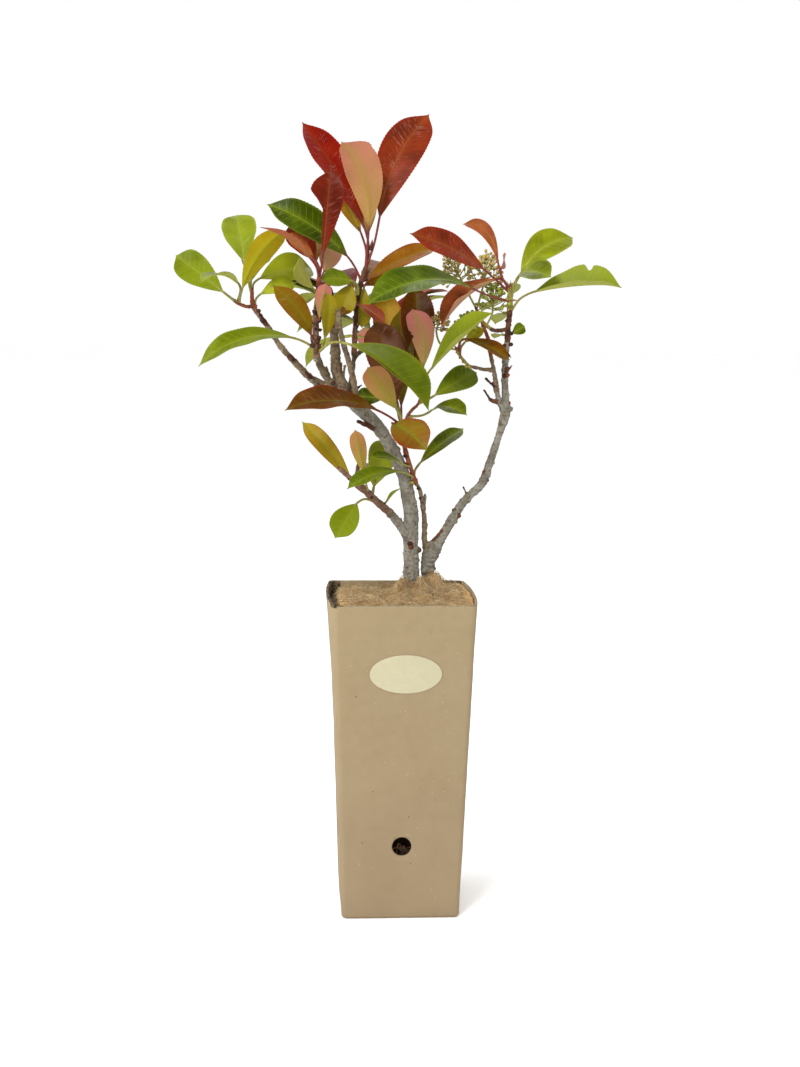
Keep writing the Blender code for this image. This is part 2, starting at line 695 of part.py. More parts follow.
def fan_rows(fan, last_place, seed):
    """Leaf rows by rule: turned by the golden angle within an arc, with seeded sizes."""
    count, turns, rises, lengths, widths = fan
    rng = random.Random(seed)
    rows = []
    for i in range(count):
        turn = turns[0] + (i * GOLDEN_ANGLE / 360 % 1) * (turns[1] - turns[0])
        place = last_place * (1 - 0.5 * i / count)
        stalk = (turn, rng.uniform(*rises) + 10, rng.uniform(9, 16))
        leaf = (turn, rng.uniform(*rises), rng.uniform(*lengths))
        rows.append((place, stalk, leaf, UP, (rng.uniform(*widths), 0.12, 0, 14)))
    return rows


def probe_points(twig, row):
    """Points spread over a leaf, to test it against its neighbours."""
    _, foot, chord, _, across, bow = leaf_on(twig, row)
    points = []
    for t in (0.15, 0.35, 0.55, 0.75, 0.95):
        middle = spine(foot, chord, bow, t)
        reach = across * (row[4][0] / 2 * outline(t))
        points += [middle, middle + reach, middle - reach]
    return points


def far_from_limbs(points, base):
    """Whether every point is clear of all the limbs but the one that carries the tuft."""
    for name, (line, radii, _, _) in LIMBS.items():
        if name == base:
            continue
        for i in range(len(line) - 1):
            start, end = Vector(line[i]), Vector(line[i + 1])
            run = end - start
            for point in points:
                share = min(max((point - start).dot(run) / run.length_squared, 0), 1)
                if (point - start - run * share).length < radii[i] + LIMB_CLEARANCE:
                    return False
    return True


# Tufts

def tuft_twigs(name):
    """The twigs of a tuft as (points, radii, leaf rows, fan), the first grown from its limb's tip."""
    base, twigs, _ = TUFTS[name]
    tip = limb_points(base)
    start = tip[-1] + tangents(tip)[-1] * GAP
    made = []
    for number, (points, radii, rows, fan) in enumerate(twigs):
        line = [Vector(point) for point in points]
        made.append(([start, *line] if number == 0 else line, radii, rows, fan))
    return made


def tuft_rows(name, taken):
    """Each twig's leaf rows, those of its fan left out where they would touch a limb or leaf."""
    found = []
    for number, (line, _, rows, fan) in enumerate(tuft_twigs(name)):
        kept = list(rows)
        if fan:
            seed = SEED + 10 * list(TUFTS).index(name) + number
            for row in fan_rows(fan, len(line) - 1, seed):
                points = probe_points(line, row)
                others = [p for other, spots in taken.items() if other != name for p in spots]
                crowded = any((p - q).length < LEAF_CLEARANCE for p in points for q in others)
                if not crowded and far_from_limbs(points, TUFTS[name][0]):
                    kept.append(row)
        found.append(kept)
        taken.setdefault(name, []).extend(p for row in kept for p in probe_points(line, row))
    return found


def flower_head(stalk, reach, buds):
    """Pieces of one head: its stalk, and side stalks by the golden angle with a bud on each."""
    line = [Vector(point) for point in stalk]
    pieces = [tube(line, [1.2] * (len(line) - 1) + [0.9], 3)]
    top = line[-1] - line[-2]
    axis = top.normalized()
    across = axis.orthogonal().normalized()
    other = axis.cross(across)
    for i in range(buds):
        share = (i + 0.5) / buds
        lean = math.radians(85 - 75 * share)
        around = math.radians(GOLDEN_ANGLE * i)
        aim = axis * math.cos(lean) + (across * math.cos(around) + other * math.sin(around)) * math.sin(lean)
        root = line[-2] + top * (0.25 + 0.7 * share)
        tip = root + aim * reach * (0.85 + 0.3 * (i % 3) / 2)
        pieces.append(tube([root, tip], [BUD_STALK_RADIUS] * 2, 3))
        pieces.append(bud(tip, BUD_RADIUS))
    return pieces


def bud(centre, radius):
    """A round bud with eight faces."""
    ring = [centre + radius * Vector((math.cos(a), math.sin(a), 0))
            for a in (0.3, 0.3 + math.pi / 2, 0.3 + math.pi, 0.3 + 3 * math.pi / 2)]
    vertices = [centre - Vector((0, 0, radius)), *ring, centre + Vector((0, 0, radius))]
    return vertices, spindle_faces(1, 4)


def tuft_pieces(name, taken):
    """Every piece of a tuft after its first twig, and that twig."""
    pieces = []
    twigs = tuft_twigs(name)
    base_line = tangents(limb_points(TUFTS[name][0]))[-1]
    for number, ((line, radii, _, _), rows) in enumerate(zip(twigs, tuft_rows(name, taken))):
        first = base_line if number == 0 else None
        pieces.append(tube(line, radii, 6 if number == 0 else 5, first))
        for row in rows:
            leaf = leaf_on(line, row)
            pieces.append(stalk_tube(leaf))
            pieces.append(blade(leaf, row[4]))
    for stalk, reach, buds in TUFTS[name][2]:
        pieces += flower_head(stalk, reach, buds)
    return pieces


def build_tuft(name, taken):
    """One mass of foliage: twigs, leaves and buds fused into one body."""
    pieces = tuft_pieces(name, taken)
    material = TUFT_MATERIALS.get(name, GREEN_LEAF)
    tuft = new_object(name, *pieces[0], material)
    collection = bpy.data.collections.new(name + "_pieces")
    bpy.context.scene.collection.children.link(collection)
    for vertices, faces in pieces[1:]:
        piece = new_object("piece", vertices, faces)
        bpy.context.scene.collection.objects.unlink(piece)
        collection.objects.link(piece)
    apply_boolean(tuft, "UNION", collection, "MANIFOLD")
    for piece in list(collection.objects):
        remove_object(piece)
    bpy.data.collections.remove(collection)
    tuft.data.materials.clear()
    tuft.data.materials.append(material_of(*material))
    return tuft


def main():
    for obj in list(bpy.data.objects):
        bpy.data.objects.remove(obj)
    build_pot()
    build_label()
    build_root_ball()
    for name in LIMBS:
        build_limb(name)
    taken = {}
    for name in TUFTS:
        build_tuft(name, taken)


main()
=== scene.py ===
# Looks of a young photinia with red new leaves, standing in its tall tapered cardboard pot.
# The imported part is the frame, and each mesh made here stands for solids of it and rides on its one body.
# The tables repeat the part's own, in millimetres and degrees; MM turns lengths into Blender's metres.
# A direction is a turn and a rise: turn 0 is right, 90 away from the viewer, 180 left, 270 towards
# the viewer, and the rise is counted up from level. The origin is under the middle of the pot.

import math
import random

import bpy
import numpy as np
from mathutils import Matrix, Vector, kdtree, noise


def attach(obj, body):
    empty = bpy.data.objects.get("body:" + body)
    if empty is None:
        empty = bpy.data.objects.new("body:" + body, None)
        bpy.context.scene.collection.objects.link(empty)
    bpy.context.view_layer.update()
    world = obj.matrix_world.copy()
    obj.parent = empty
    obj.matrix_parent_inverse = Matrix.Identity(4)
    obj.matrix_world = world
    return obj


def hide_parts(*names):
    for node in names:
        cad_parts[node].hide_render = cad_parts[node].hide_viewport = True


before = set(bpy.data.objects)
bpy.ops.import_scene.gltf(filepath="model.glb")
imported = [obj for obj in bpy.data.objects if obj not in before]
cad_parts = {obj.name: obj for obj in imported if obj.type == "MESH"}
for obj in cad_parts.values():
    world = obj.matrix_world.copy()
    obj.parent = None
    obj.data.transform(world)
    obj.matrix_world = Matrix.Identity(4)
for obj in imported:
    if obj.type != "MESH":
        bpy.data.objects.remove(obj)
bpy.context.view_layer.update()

MM = 0.001
GAP = 0.3
GOLDEN_ANGLE = 137.5
SEED = 7

# Camera: what it looks at and from which way, in metres, and its slight roll
CAMERA_TARGET = (-0.00115, 0.0, 0.3559)
CAMERA_WAY = (-0.067, -0.986, 0.151)
CAMERA_DISTANCE = 1.6
CAMERA_LENS = 57.7
CAMERA_ROLL = 0.012

# Light: the strength of the sky all round, and soft lamps as (place, width, watts), in metres
SKY_STRENGTH = 1.0
LAMPS = (
    ((-0.7, -1.45, 1.6), 0.6, 26.0),
    ((-1.8, -0.2, 1.3), 1.0, 16.0),
    ((0.4, 1.6, 2.2), 1.6, 12.0),
)
LAMP_TARGET = (0.0, 0.0, 0.35)
FLOOR_HALF = 12.0
FLOOR_TONES = ((299, 299, 299), (300, 300, 300))

# How much brighter than a plain white sky the lamps make a surface that faces the viewer
LIGHT_GAIN = 1.45

# Pot: its rim is a row of (rise above the pot's height, inset)
POT_HEIGHT = 300.0
POT_TOP_HALF = 65.5
POT_FOOT_HALF = 55.0
POT_WALL = 2.6
POT_FLOOR = 3.0
POT_CORNER = 5.0
POT_INNER_CORNER = 1.5
POT_FOOT_ROUNDING = 3.0
POT_SIDE_BULGE = 4.5
POT_LEVEL_STEP = 6.0
POT_UPPER_LEVELS = (POT_HEIGHT - 2.5, POT_HEIGHT - 0.8)
POT_RIM = ((-0.2, 0.25), (0.0, 0.7), (0.0, POT_WALL - 0.7), (-0.2, POT_WALL - 0.25))
CORNER_STEPS = 8
SIDE_STEPS = 26
FOOT_STEPS = 6
VENT_DIAMETER = 18.0
VENT_HEIGHT = 71.0
VENT_SIDES = 56
VENT_REACH = 90.0

# Wear of the board: the waves of its walls and rim as (height, size) of each noise, and the places
# where it is peeled: past this x, and within this depth of the rim
WALL_WAVES = ((0.5, 45), (0.16, 9))
RIM_WAVE = (0.5, 17)
RIM_DROP = 0.2
RIM_DEPTH = 3
PEEL_WAVE = (9, 7)
# Inside the left wall, the dark board colour below the rim is painted shade
SHADED_INSIDE = (-55, 20)
PEELED_OUTSIDE = (-62, 5)
PEELED_RIM = (-58, -3)
PEELED_CORNER = (40, 55, 6)

# Blank label on the front wall: its rings as (share of its size, share of its thickness)
LABEL_WIDTH = 66.0
LABEL_HEIGHT = 36.0
LABEL_THICKNESS = 0.5
LABEL_GAP = 0.25
LABEL_CENTRE_X = 1.5
LABEL_CENTRE_HEIGHT = 236.0
LABEL_SIDES = 120
LABEL_RINGS = ((1.0, 0.0), (1.0, 0.75), (0.997, 0.95), (0.985, 1.0), (0.8, 1.0), (0.5, 1.0), (0.1, 1.0))
LABEL_WAVE = (0.12, 12)

# Root ball: damp soil below, and a hollow behind each vent
SOIL_CLEARANCE = 0.5
SOIL_EDGE_HEIGHT = 295.0
SOIL_TOP = 306.0
SOIL_PAD_CENTRE = (18.0, 6.0)
SOIL_LEVELS = (3.3, 30, *np.arange(46, 98, 2.0), 120, 160, 200, 240, 275)
SOIL_ROUGHNESS = 0.7
HOLLOW_DEPTH = 13.0
HOLLOW_REACH = 13.0

# Coir mat on top: its height at the edge, its waves, and its small hills as (x, y, width, height)
MAT_CELLS = 120
MAT_BOTTOM = 272.0
MAT_EDGE = SOIL_EDGE_HEIGHT + 2.0
MAT_WAVES = ((1.5, 11), (0.8, 4), (0.35, 1.6))
MAT_TUFTS = (
    (0.0, -4.0, 7.5, 11.5), (18.0, -8.0, 5.0, 8.0), (32.0, 0.0, 8.0, 14.0), (39.0, 12.0, 6.0, 7.0),
    (12.0, -22.0, 14.0, 4.5), (56.0, -20.0, 9.0, 3.0), (-40.0, -30.0, 14.0, 2.5), (-30.0, 30.0, 12.0, 2.5),
)
MOUND_WIDTH = 22
BACK_DROP = 3.5
BUNDLE_HEIGHT = 4.5
CREASE_DEPTH = 2.2
SIDE_GAP_DEPTH = 5
# Painted shade: the mat and its fibres darker below this height, and the dark board past this x at the left
SHADED_MAT_HEIGHT = 292.5
SHADED_LEFT_SIDE = -59

# Fibres of the mat: how many, the range of their lengths and radii, the chance of one that stands
# up near the stems and elsewhere, and how high it stands or lies
FIBRE_COUNT = 4400
FIBRE_LENGTHS = (7.0, 28.0)
FIBRE_RADII = (0.1, 0.2)
FIBRE_STEP = 1.9
FIBRES_NEAR_STEMS = 0.3
FIBRES_UP_NEAR_STEMS = 0.18
FIBRES_UP = 0.14
FIBRE_RISES = (2.5, 6.0)
FIBRE_LIES = (0.1, 1.4)
FEWEST_FIBRE_POINTS = 4
BARE_SIDE = -52
NEAR_STEMS = 20
# Colours of the fibres by place: the browner ones where the mat lies low are painted shade
FIBRE_LOOKS = {
    "low": ("fibre_brown", "fibre_brown", "fibre_tan", "fibre_pale"),
    "near": ("fibre_orange", "fibre_tan", "fibre_orange", "fibre_pale"),
    "open": ("fibre_pale", "fibre_tan", "fibre_pale", "fibre_orange"),
}

# Clump of roots in each vent hole
VENT_ROOTS = 26
VENT_ROOT_POINTS = 9
VENT_ROOT_LOOKS = ("fibre_dark", "fibre_dark", "fibre_root")

# Bark: the size of its skin's cells, and the relief carved into it as (height, size) of each noise
BARK_VOXEL = 0.666
BARK_LUMPS = ((0.55, 6.0), (0.42, 2.4))
BARK_CRACK_SIZE = 4.2
BARK_CRACK_WIDTH = 0.12
LIMB_STEP = 1.5
LIMB_SIDES = 24
FLARE = 0.3
FLARE_LENGTH = 7.0
SCAR_SPACING = (3.5, 10.0)
SCAR_DEPTHS = {"trunk": 0.05}
USUAL_SCAR_DEPTH = 0.13
BUMP_SPACINGS = {"trunk": (22, 40)}
USUAL_BUMP_SPACING = (7, 15)
LARGEST_BUMP = 2.6

# Twigs
TWIG_STEP = 1.2
TWIG_SIDES = 14
TWIG_SCAR_DEPTH = 0.22
TWIG_BUMP_SPACING = (5, 10)
TIP_BUD = (1.3, 5.0)
AXIL_BUD = (0.9, 3.6)
BUD_SHARES = (0.0, 0.2, 0.45, 0.7, 0.9, 1.0)
BUD_SWELLS = (0.7, 1.0, 0.95, 0.62, 0.28, 0.06)

# Leaves: the range of the drooping tip, of the teeth, and of the waves' sizes and numbers
LEAF_STATION_STEP = 1.35
FEWEST_STATIONS = 20
LEAF_COLUMNS = (0.0, 0.16, 0.34, 0.52, 0.7, 0.86, 1.0)
LEAF_THICKNESS = 0.45
NARROWEST_HALF = 0.45
RIB_HALF = 0.6
RIB_DEPTH = 0.9
VEIN_SPACING = 6.5
VEIN_SLANT = 0.6
VEIN_DEPTH = 0.45
TOOTH = 0.012
TOOTHED = (0.14, 0.95)
DROOP = 0.035
DROOP_START = 0.75
TWIST = 12
WAVE_SIZES = (0.02, 0.06)
WAVE_TURNS = (1.2, 3.2)
STALK_RADIUS = 1.15
STALK_INTO_BLADE = 0.13
WIDEST_AT = 0.62
TAPER = 1.65
TIP_START = 0.8
TIP_SHARPNESS = 2.6
LEAF_MARKS = ("leaf_out", "leaf_along", "leaf_share", "leaf_tone", "leaf_run")
TONE_STEP = 0.04

# How far a leaf placed by rule stays from limbs and from other tufts' leaves
LIMB_CLEARANCE = 3.0
LEAF_CLEARANCE = 8.0

# Flower heads: the radii of their stalks and buds, and how many buds each side stalk forks into
BUD_RADIUS = 1.75
HEAD_STALK_RADII = (0.95, 0.6)
SIDE_STALK_RADII = (0.65, 0.55, 0.45)
FORK_STALK_RADII = (0.45, 0.36)
FORK_AT = 0.55
FORK_BUDS = 3

# The ways in which a leaf's upper side can look
FRONT = (0.0, -1.0, 0.15)
FRONT_RIGHT = (0.6, -0.8, 0.2)
FRONT_LEFT = (-0.4, -0.9, 0.3)
BACK = (0.0, 1.0, 0.2)
UP = (0.0, 0.0, 1.0)
UP_FRONT = (0.0, -0.5, 0.85)
HALF_FRONT = (0.0, -0.85, 0.5)
UP_LEFT = (-0.6, -0.5, 0.6)
RIGHT = (1.0, 0.1, 0.1)

# Colours as the screen shows them. Coir is (light, dark), and bark (pale, grey, brown)
BOARD = ((163, 141, 110), (170, 150, 114))
BOARD_PULP = (150, 130, 97)
BOARD_CLOUD = (180, 161, 127)
BOARD_FLECKS = ((206, 192, 160), (104, 84, 60))
TORN_BOARD = ((128, 112, 88), (176, 160, 130))
# The dark board: peeled board with its face gone, and painted shade inside the left wall and on the mat's
# left side
PEELED_BOARD_AND_SHADE = ((52, 38, 24), (132, 114, 88))
PAPER = ((210, 201, 168), (203, 193, 156))
PAPER_CLOUD = (190, 183, 152)
COIRS = {
    "coir_light": ((242, 200, 138), (212, 162, 104)),
    # The mat's colour where it lies low and on its sides is painted shade
    "coir_dark": ((168, 136, 92), (112, 84, 54)),
    "damp_soil": ((70, 48, 30), (30, 20, 12)),
}
FIBRES = {
    "fibre_pale": (244, 218, 168), "fibre_tan": (234, 198, 142), "fibre_orange": (218, 172, 112),
    "fibre_brown": (174, 136, 90), "fibre_dark": (84, 58, 38), "fibre_root": (128, 88, 54),
}
BARK_COLOURS = {
    "bark": ((152, 147, 134), (122, 116, 102), (110, 86, 60)),
    "warm_bark": ((136, 118, 92), (108, 90, 66), (84, 56, 38)),
    "dark_bark": ((112, 98, 76), (84, 70, 50), (62, 40, 26)),
    "twig_bark": ((116, 74, 48), (86, 50, 32), (62, 28, 18)),
    "red_twig": ((160, 92, 62), (132, 62, 38), (98, 40, 24)),
    "green_twig": ((164, 152, 74), (134, 118, 50), (118, 74, 34)),
    "pink_bark": ((138, 106, 86), (106, 76, 58), (76, 38, 28)),
    "dark_scar": ((82, 46, 32), (60, 30, 20), (42, 18, 12)),
}

# Thin skins of stalks and buds: their colour and roughness
SKINS = {
    "red_stalk": ((142, 46, 34), 0.5),
    "green_stalk": ((164, 156, 60), 0.5),
    "winter_bud": ((128, 38, 30), 0.4),
    "flower_stalk": ((186, 180, 70), 0.6),
    "flower_bud": ((218, 188, 98), 0.5),
    "green_bud": ((170, 184, 50), 0.5),
    "flower_cup": ((160, 140, 44), 0.5),
}

# Kinds of leaf: the screen colours of its upper side, of that side's ribs and its edge, of its
# underside and the underside's ribs, and the kind of stalk
LEAF_KINDS = {
    "red": ((128, 12, 0), (150, 52, 14), (158, 24, 10),
        (200, 130, 100), (180, 152, 72), "red_stalk"),
    "deep_red": ((112, 30, 10), (140, 60, 28), (132, 38, 18),
        (166, 90, 64), (150, 110, 56), "red_stalk"),
    "brick": ((144, 50, 18), (156, 80, 34), (156, 32, 12),
        (202, 118, 108), (162, 152, 70), "red_stalk"),
    "purple_brown": ((84, 44, 26), (122, 82, 42), (108, 42, 28),
        (160, 100, 80), (150, 130, 70), "red_stalk"),
    "orange_red": ((142, 70, 32), (168, 98, 40), (164, 36, 14),
        (196, 118, 90), (180, 140, 70), "red_stalk"),
    "mauve": ((138, 60, 38), (162, 100, 62), (150, 50, 40),
        (178, 92, 66), (172, 118, 66), "red_stalk"),
    "light_mauve": ((196, 98, 52), (200, 140, 80), (182, 72, 44),
        (226, 158, 130), (204, 168, 112), "red_stalk"),
    "brown": ((98, 54, 6), (118, 100, 26), (138, 40, 14),
        (164, 104, 72), (160, 132, 64), "red_stalk"),
    "bronze": ((104, 84, 14), (136, 120, 40), (120, 66, 18),
        (150, 120, 56), (150, 136, 50), "red_stalk"),
    "red_green": ((122, 60, 18), (130, 142, 34), (172, 40, 28),
        (180, 104, 68), (158, 146, 60), "red_stalk"),
    "orange_brown": ((126, 68, 0), (148, 116, 26), (150, 50, 12),
        (180, 124, 66), (166, 142, 56), "red_stalk"),
    "amber": ((160, 118, 26), (178, 150, 50), (166, 84, 26),
        (198, 150, 78), (182, 160, 66), "red_stalk"),
    "orange_green": ((114, 66, 2), (134, 122, 14), (150, 54, 16),
        (176, 146, 64), (168, 162, 60), "red_stalk"),
    "gold_green": ((146, 110, 14), (158, 152, 40), (164, 84, 22),
        (184, 144, 62), (168, 164, 62), "red_stalk"),
    "blush": ((126, 104, 20), (160, 144, 56), (164, 92, 44),
        (190, 130, 82), (152, 150, 48), "green_stalk"),
    "olive": ((130, 112, 4), (158, 146, 38), (140, 112, 20),
        (146, 140, 50), (154, 152, 62), "green_stalk"),
    "dark_green": ((70, 88, 0), (134, 150, 30), (106, 122, 18),
        (158, 160, 72), (176, 176, 92), "red_stalk"),
    "deep_green": ((70, 88, 0), (142, 152, 32), (128, 138, 24),
        (158, 160, 72), (176, 176, 92), "green_stalk"),
    "shade_green": ((50, 68, 0), (134, 142, 24), (124, 130, 16),
        (150, 156, 60), (168, 172, 80), "green_stalk"),
    "green": ((92, 104, 0), (142, 154, 34), (130, 142, 24),
        (150, 156, 54), (168, 172, 72), "green_stalk"),
    "light_green": ((118, 130, 16), (160, 170, 54), (150, 158, 38),
        (160, 166, 60), (178, 182, 78), "green_stalk"),
    "pale_green": ((146, 154, 36), (168, 174, 62), (158, 160, 42),
        (168, 172, 68), (182, 184, 84), "green_stalk"),
    "lime": ((140, 150, 12), (178, 184, 58), (164, 172, 38),
        (176, 174, 76), (190, 188, 92), "green_stalk"),
    "yellow_green": ((140, 132, 12), (172, 164, 48), (168, 120, 26),
        (160, 134, 10), (160, 158, 30), "green_stalk"),
}

# Painted highlight on the upper sides, pale streaks that stand in for the waxy shine: its colours, how
# strong it is by kind of red leaf and otherwise, and the size of its streaks across and along the veins
HIGHLIGHT_RED = (206, 146, 136)
HIGHLIGHT_GREEN = (176, 192, 130)
HIGHLIGHT_STREAKS = {
    "red": 0.7, "brick": 0.5, "deep_red": 0.22, "purple_brown": 0.6, "orange_red": 0.3, "mauve": 0.2,
    "brown": 0.25,
}
HIGHLIGHT_STREAK_USUAL = 0.24
HIGHLIGHT_STREAK_SIZE = (1.3, 9.0)

# Limbs: points of the centre line, and the radius at each. The stems grow from the soil, and each
# other limb starts inside the one that it leaves
STEMS = ("trunk", "side_trunk")
LIMBS = {
    "trunk": (
        ((11, 4, SOIL_TOP + GAP), (10, 3, 322), (9, 1, 354), (9, -1, 374), (6, -3, 391), (2, -4, 409),
         (-5, -6, 426), (-14, -8, 443), (-27, -9, 461), (-40, -10, 473), (-49, -11, 482), (-54, -12, 489)),
        (8.8, 7.4, 7.2, 7.0, 6.6, 6.2, 5.9, 5.9, 6.0, 6.2, 6.6, 6.2),
    ),
    "side_trunk": (
        ((27, 10, SOIL_TOP + GAP), (26, 10, 322), (28, 10, 336), (29, 10, 343)),
        (6.4, 6.2, 6.9, 5.0),
    ),
    "upright_bough": (
        ((-55, -12, 491), (-58, -11, 497), (-62, -9, 509), (-63, -7, 527), (-64, -5, 541), (-64, -4, 550)),
        (5.6, 5.4, 5.0, 4.4, 3.8, 3.2),
    ),
    "far_left_bough": (
        ((-51, -11, 485), (-62, -12, 490), (-75, -8, 495), (-87, -4, 502), (-100, 0, 515), (-113, 4, 529),
         (-122, 7, 543), (-131, 9, 555), (-134, 10, 559)),
        (3.9, 3.8, 3.6, 3.2, 2.9, 2.6, 2.4, 2.2, 2.2),
    ),
    "left_bough": (
        ((-64, -12, 491), (-68, -14, 498), (-75, -16, 509), (-80, -17, 521)),
        (3.3, 3.4, 3.3, 3.1),
    ),
    "leader": (
        ((-51, -10, 485), (-49, -4, 494), (-47, 2, 506), (-45, 6, 520), (-44, 8, 534), (-44, 9, 549)),
        (2.6, 2.4, 2.2, 2.1, 2.0, 1.9),
    ),
    "grey_stem": (
        ((-44, -11, 476), (-44, -17, 484), (-46, -22, 496), (-50, -26, 513), (-55, -29, 529),
         (-59, -31, 545), (-61, -32, 561)),
        (2.9, 2.8, 2.7, 2.6, 2.5, 2.3, 1.9),
    ),
    "left_low_bough": (
        ((8, 0, 353), (1, -3, 361), (-8, -8, 373), (-15, -12, 380)),
        (4.6, 4.4, 3.9, 3.6),
    ),
    "centre_shoot": (
        ((28, 10, 336), (23, 9, 346), (22, 4, 366), (20, 0, 381), (17, -3, 396), (12, -6, 406)),
        (2.9, 2.7, 2.5, 2.3, 1.9, 2.1),
    ),
    "right_bough": (
        ((29, 10, 332), (34, 12, 341), (41, 14, 354), (50, 17, 368), (57, 20, 379), (66, 22, 389),
         (76, 24, 398), (81, 26, 407), (85, 28, 419), (89, 29, 431), (93, 30, 443), (97, 30, 456)),
        (5.2, 5.1, 4.8, 4.4, 4.2, 3.9, 4.0, 4.1, 3.7, 3.5, 3.3, 3.6),
    ),
    "upper_right_bough": (
        ((97, 30, 456.3), (100, 30, 469), (99, 29, 483), (98, 28, 498), (98, 26, 512), (98, 24, 524),
         (99, 21, 537)),
        (3.6, 4.3, 3.4, 3.2, 3.2, 2.9, 2.7),
    ),
    "right_side_branch": (
        ((99, 29, 466), (94, 27, 476), (90, 23, 488), (88, 20, 500), (85, 16, 512), (82, 12, 524)),
        (2.7, 2.6, 2.4, 2.2, 2.0, 1.9),
    ),
    "right_twig": (
        ((86, 17, 508), (76, 12, 509), (67, 8, 511), (62, 7, 512)),
        (1.7, 1.6, 1.6, 1.5),
    ),
    "back_bough": (
        ((-44.5, 6.5, 520), (-41, 20, 522), (-33, 40, 526), (-25, 57, 533)),
        (1.9, 2.0, 2.0, 1.8),
    ),
}

# Dead stubs as (foot, tip, radius, bark), and knots as (centre, radius, bark)
STUBS = (
    ((-82, -8, 497), (-90, -9, 506), 1.7, "dark_scar"),
    ((-68, -15, 502), (-71, -15, 512), 1.2, "twig_bark"),
    ((-59, -12, 504), (-57, -12, 515), 1.2, "twig_bark"), ((-57, -8, 492), (-54, -5, 512), 1.8, "bark"),
    ((-48, -13, 489), (-39, -14, 495), 1.3, "dark_scar"),
    ((-25, -12, 454), (-42, -14, 462), 2.3, "twig_bark"), ((-47, 5, 521), (-46, 5, 551), 1.1, "red_twig"),
    ((64, 23, 389), (60, 23, 397), 1.3, "dark_bark"), ((28, 11, 345), (37, 11, 355), 1.5, "twig_bark"),
    ((21, 3, 376), (22, 3, 392), 2.0, "bark"), ((89, 21, 491), (79, 21, 500), 1.5, "dark_scar"),
    ((92, 25, 477), (84, 24, 480), 2.3, "twig_bark"), ((84, 24, 480), (78, 24, 489), 1.5, "dark_scar"),
    ((99, 24, 506), (104, 24, 512), 1.3, "twig_bark"),
    ((-62, -31, 546), (-62, -31, 563), 2.4, "warm_bark"),
    ((-61, -31, 556), (-55, -31, 565), 1.2, "twig_bark"),
)
KNOTS = (
    ((99.6, 24.5, 508.1), 3.0, "twig_bark"), ((100.1, 25.5, 503.2), 2.5, "red_twig"),
    ((97.0, 24.7, 502.4), 2.2, "dark_scar"), ((102.8, 28.7, 476.8), 2.1, "red_twig"),
    ((103.3, 29.1, 471.0), 3.4, "bark"), ((101.0, 29.0, 464.0), 3.1, "bark"),
    ((8.0, -5.6, 347.0), 2.4, "dark_scar"), ((9.0, -5.3, 344.1), 2.3, "twig_bark"),
    ((3.0, 2.0, 319.0), 1.8, "bark"), ((16.0, 2.0, 340.0), 3.6, "dark_bark"),
    ((3.0, 2.0, 337.0), 1.8, "bark"), ((16.8, 2.0, 330.0), 1.6, "bark"),
    ((36.6, 12.4, 336.4), 2.7, "bark"), ((31.8, 10.0, 320.9), 2.6, "bark"),
    ((22.7, 9.2, 341.4), 2.3, "dark_bark"), ((32.0, 8.0, 316.0), 1.7, "bark"),
    ((20.6, 9.1, 326.9), 1.7, "bark"), ((26.0, 5.0, 329.0), 2.4, "bark"),
    ((79.2, 24.8, 411.5), 2.1, "twig_bark"), ((55.4, 16.3, 370.3), 2.6, "twig_bark"),
    ((58.0, 21.0, 385.0), 2.0, "bark"), ((65.7, 21.1, 383.1), 1.6, "bark"),
    ((88.6, 28.0, 419.5), 2.0, "bark"), ((44.0, 16.0, 365.0), 1.7, "bark"),
    ((51.0, 18.0, 376.0), 2.7, "dark_bark"), ((82.0, 26.0, 403.0), 2.9, "dark_bark"),
    ((95.0, 29.0, 457.0), 3.1, "dark_bark"), ((-129.0, 8.0, 552.0), 3.2, "dark_scar"),
    ((-131.0, 8.0, 557.0), 2.0, "dark_scar"), ((-126.0, 7.0, 549.0), 2.0, "dark_scar"),
    ((-117.0, 5.0, 534.0), 2.2, "dark_bark"), ((-105.0, -0.9, 520.0), 2.5, "twig_bark"),
    ((-101.1, -1.7, 517.8), 1.8, "dark_scar"), ((-111.6, 1.4, 525.2), 1.6, "bark"),
    ((-84.2, -7.7, 498.3), 2.1, "bark"), ((-79.7, -9.2, 495.8), 3.0, "dark_bark"),
    ((-64.0, -6.0, 551.0), 4.4, "twig_bark"), ((-78.0, -17.0, 513.0), 2.6, "dark_bark"),
    ((-81.0, -18.0, 518.0), 2.2, "bark"), ((-65.4, -16.0, 496.8), 2.1, "dark_scar"),
    ((16.9, -2.8, 389.4), 1.7, "dark_scar"), ((2.5, -4.3, 422.3), 2.0, "dark_scar"),
)

# The barks of the limbs' skin, and those of the limbs that turn to another past a share of their length
BARKS = ("bark", "warm_bark", "dark_bark", "twig_bark", "red_twig", "dark_scar")
LIMB_BARKS = {
    "trunk": ("dark_bark", 0.93), "left_low_bough": ("warm_bark", 0.8),
    "far_left_bough": ("warm_bark", 0.2), "left_bough": ("dark_bark", 0.0),
    "grey_stem": ("warm_bark", 0.1), "upright_bough": ("warm_bark", 0.0),
    "centre_shoot": ("warm_bark", 0.1), "right_side_branch": ("warm_bark", 0.4),
    "right_twig": ("warm_bark", 0.0), "back_bough": ("warm_bark", 0.0), "leader": ("dark_bark", 0.0),
}

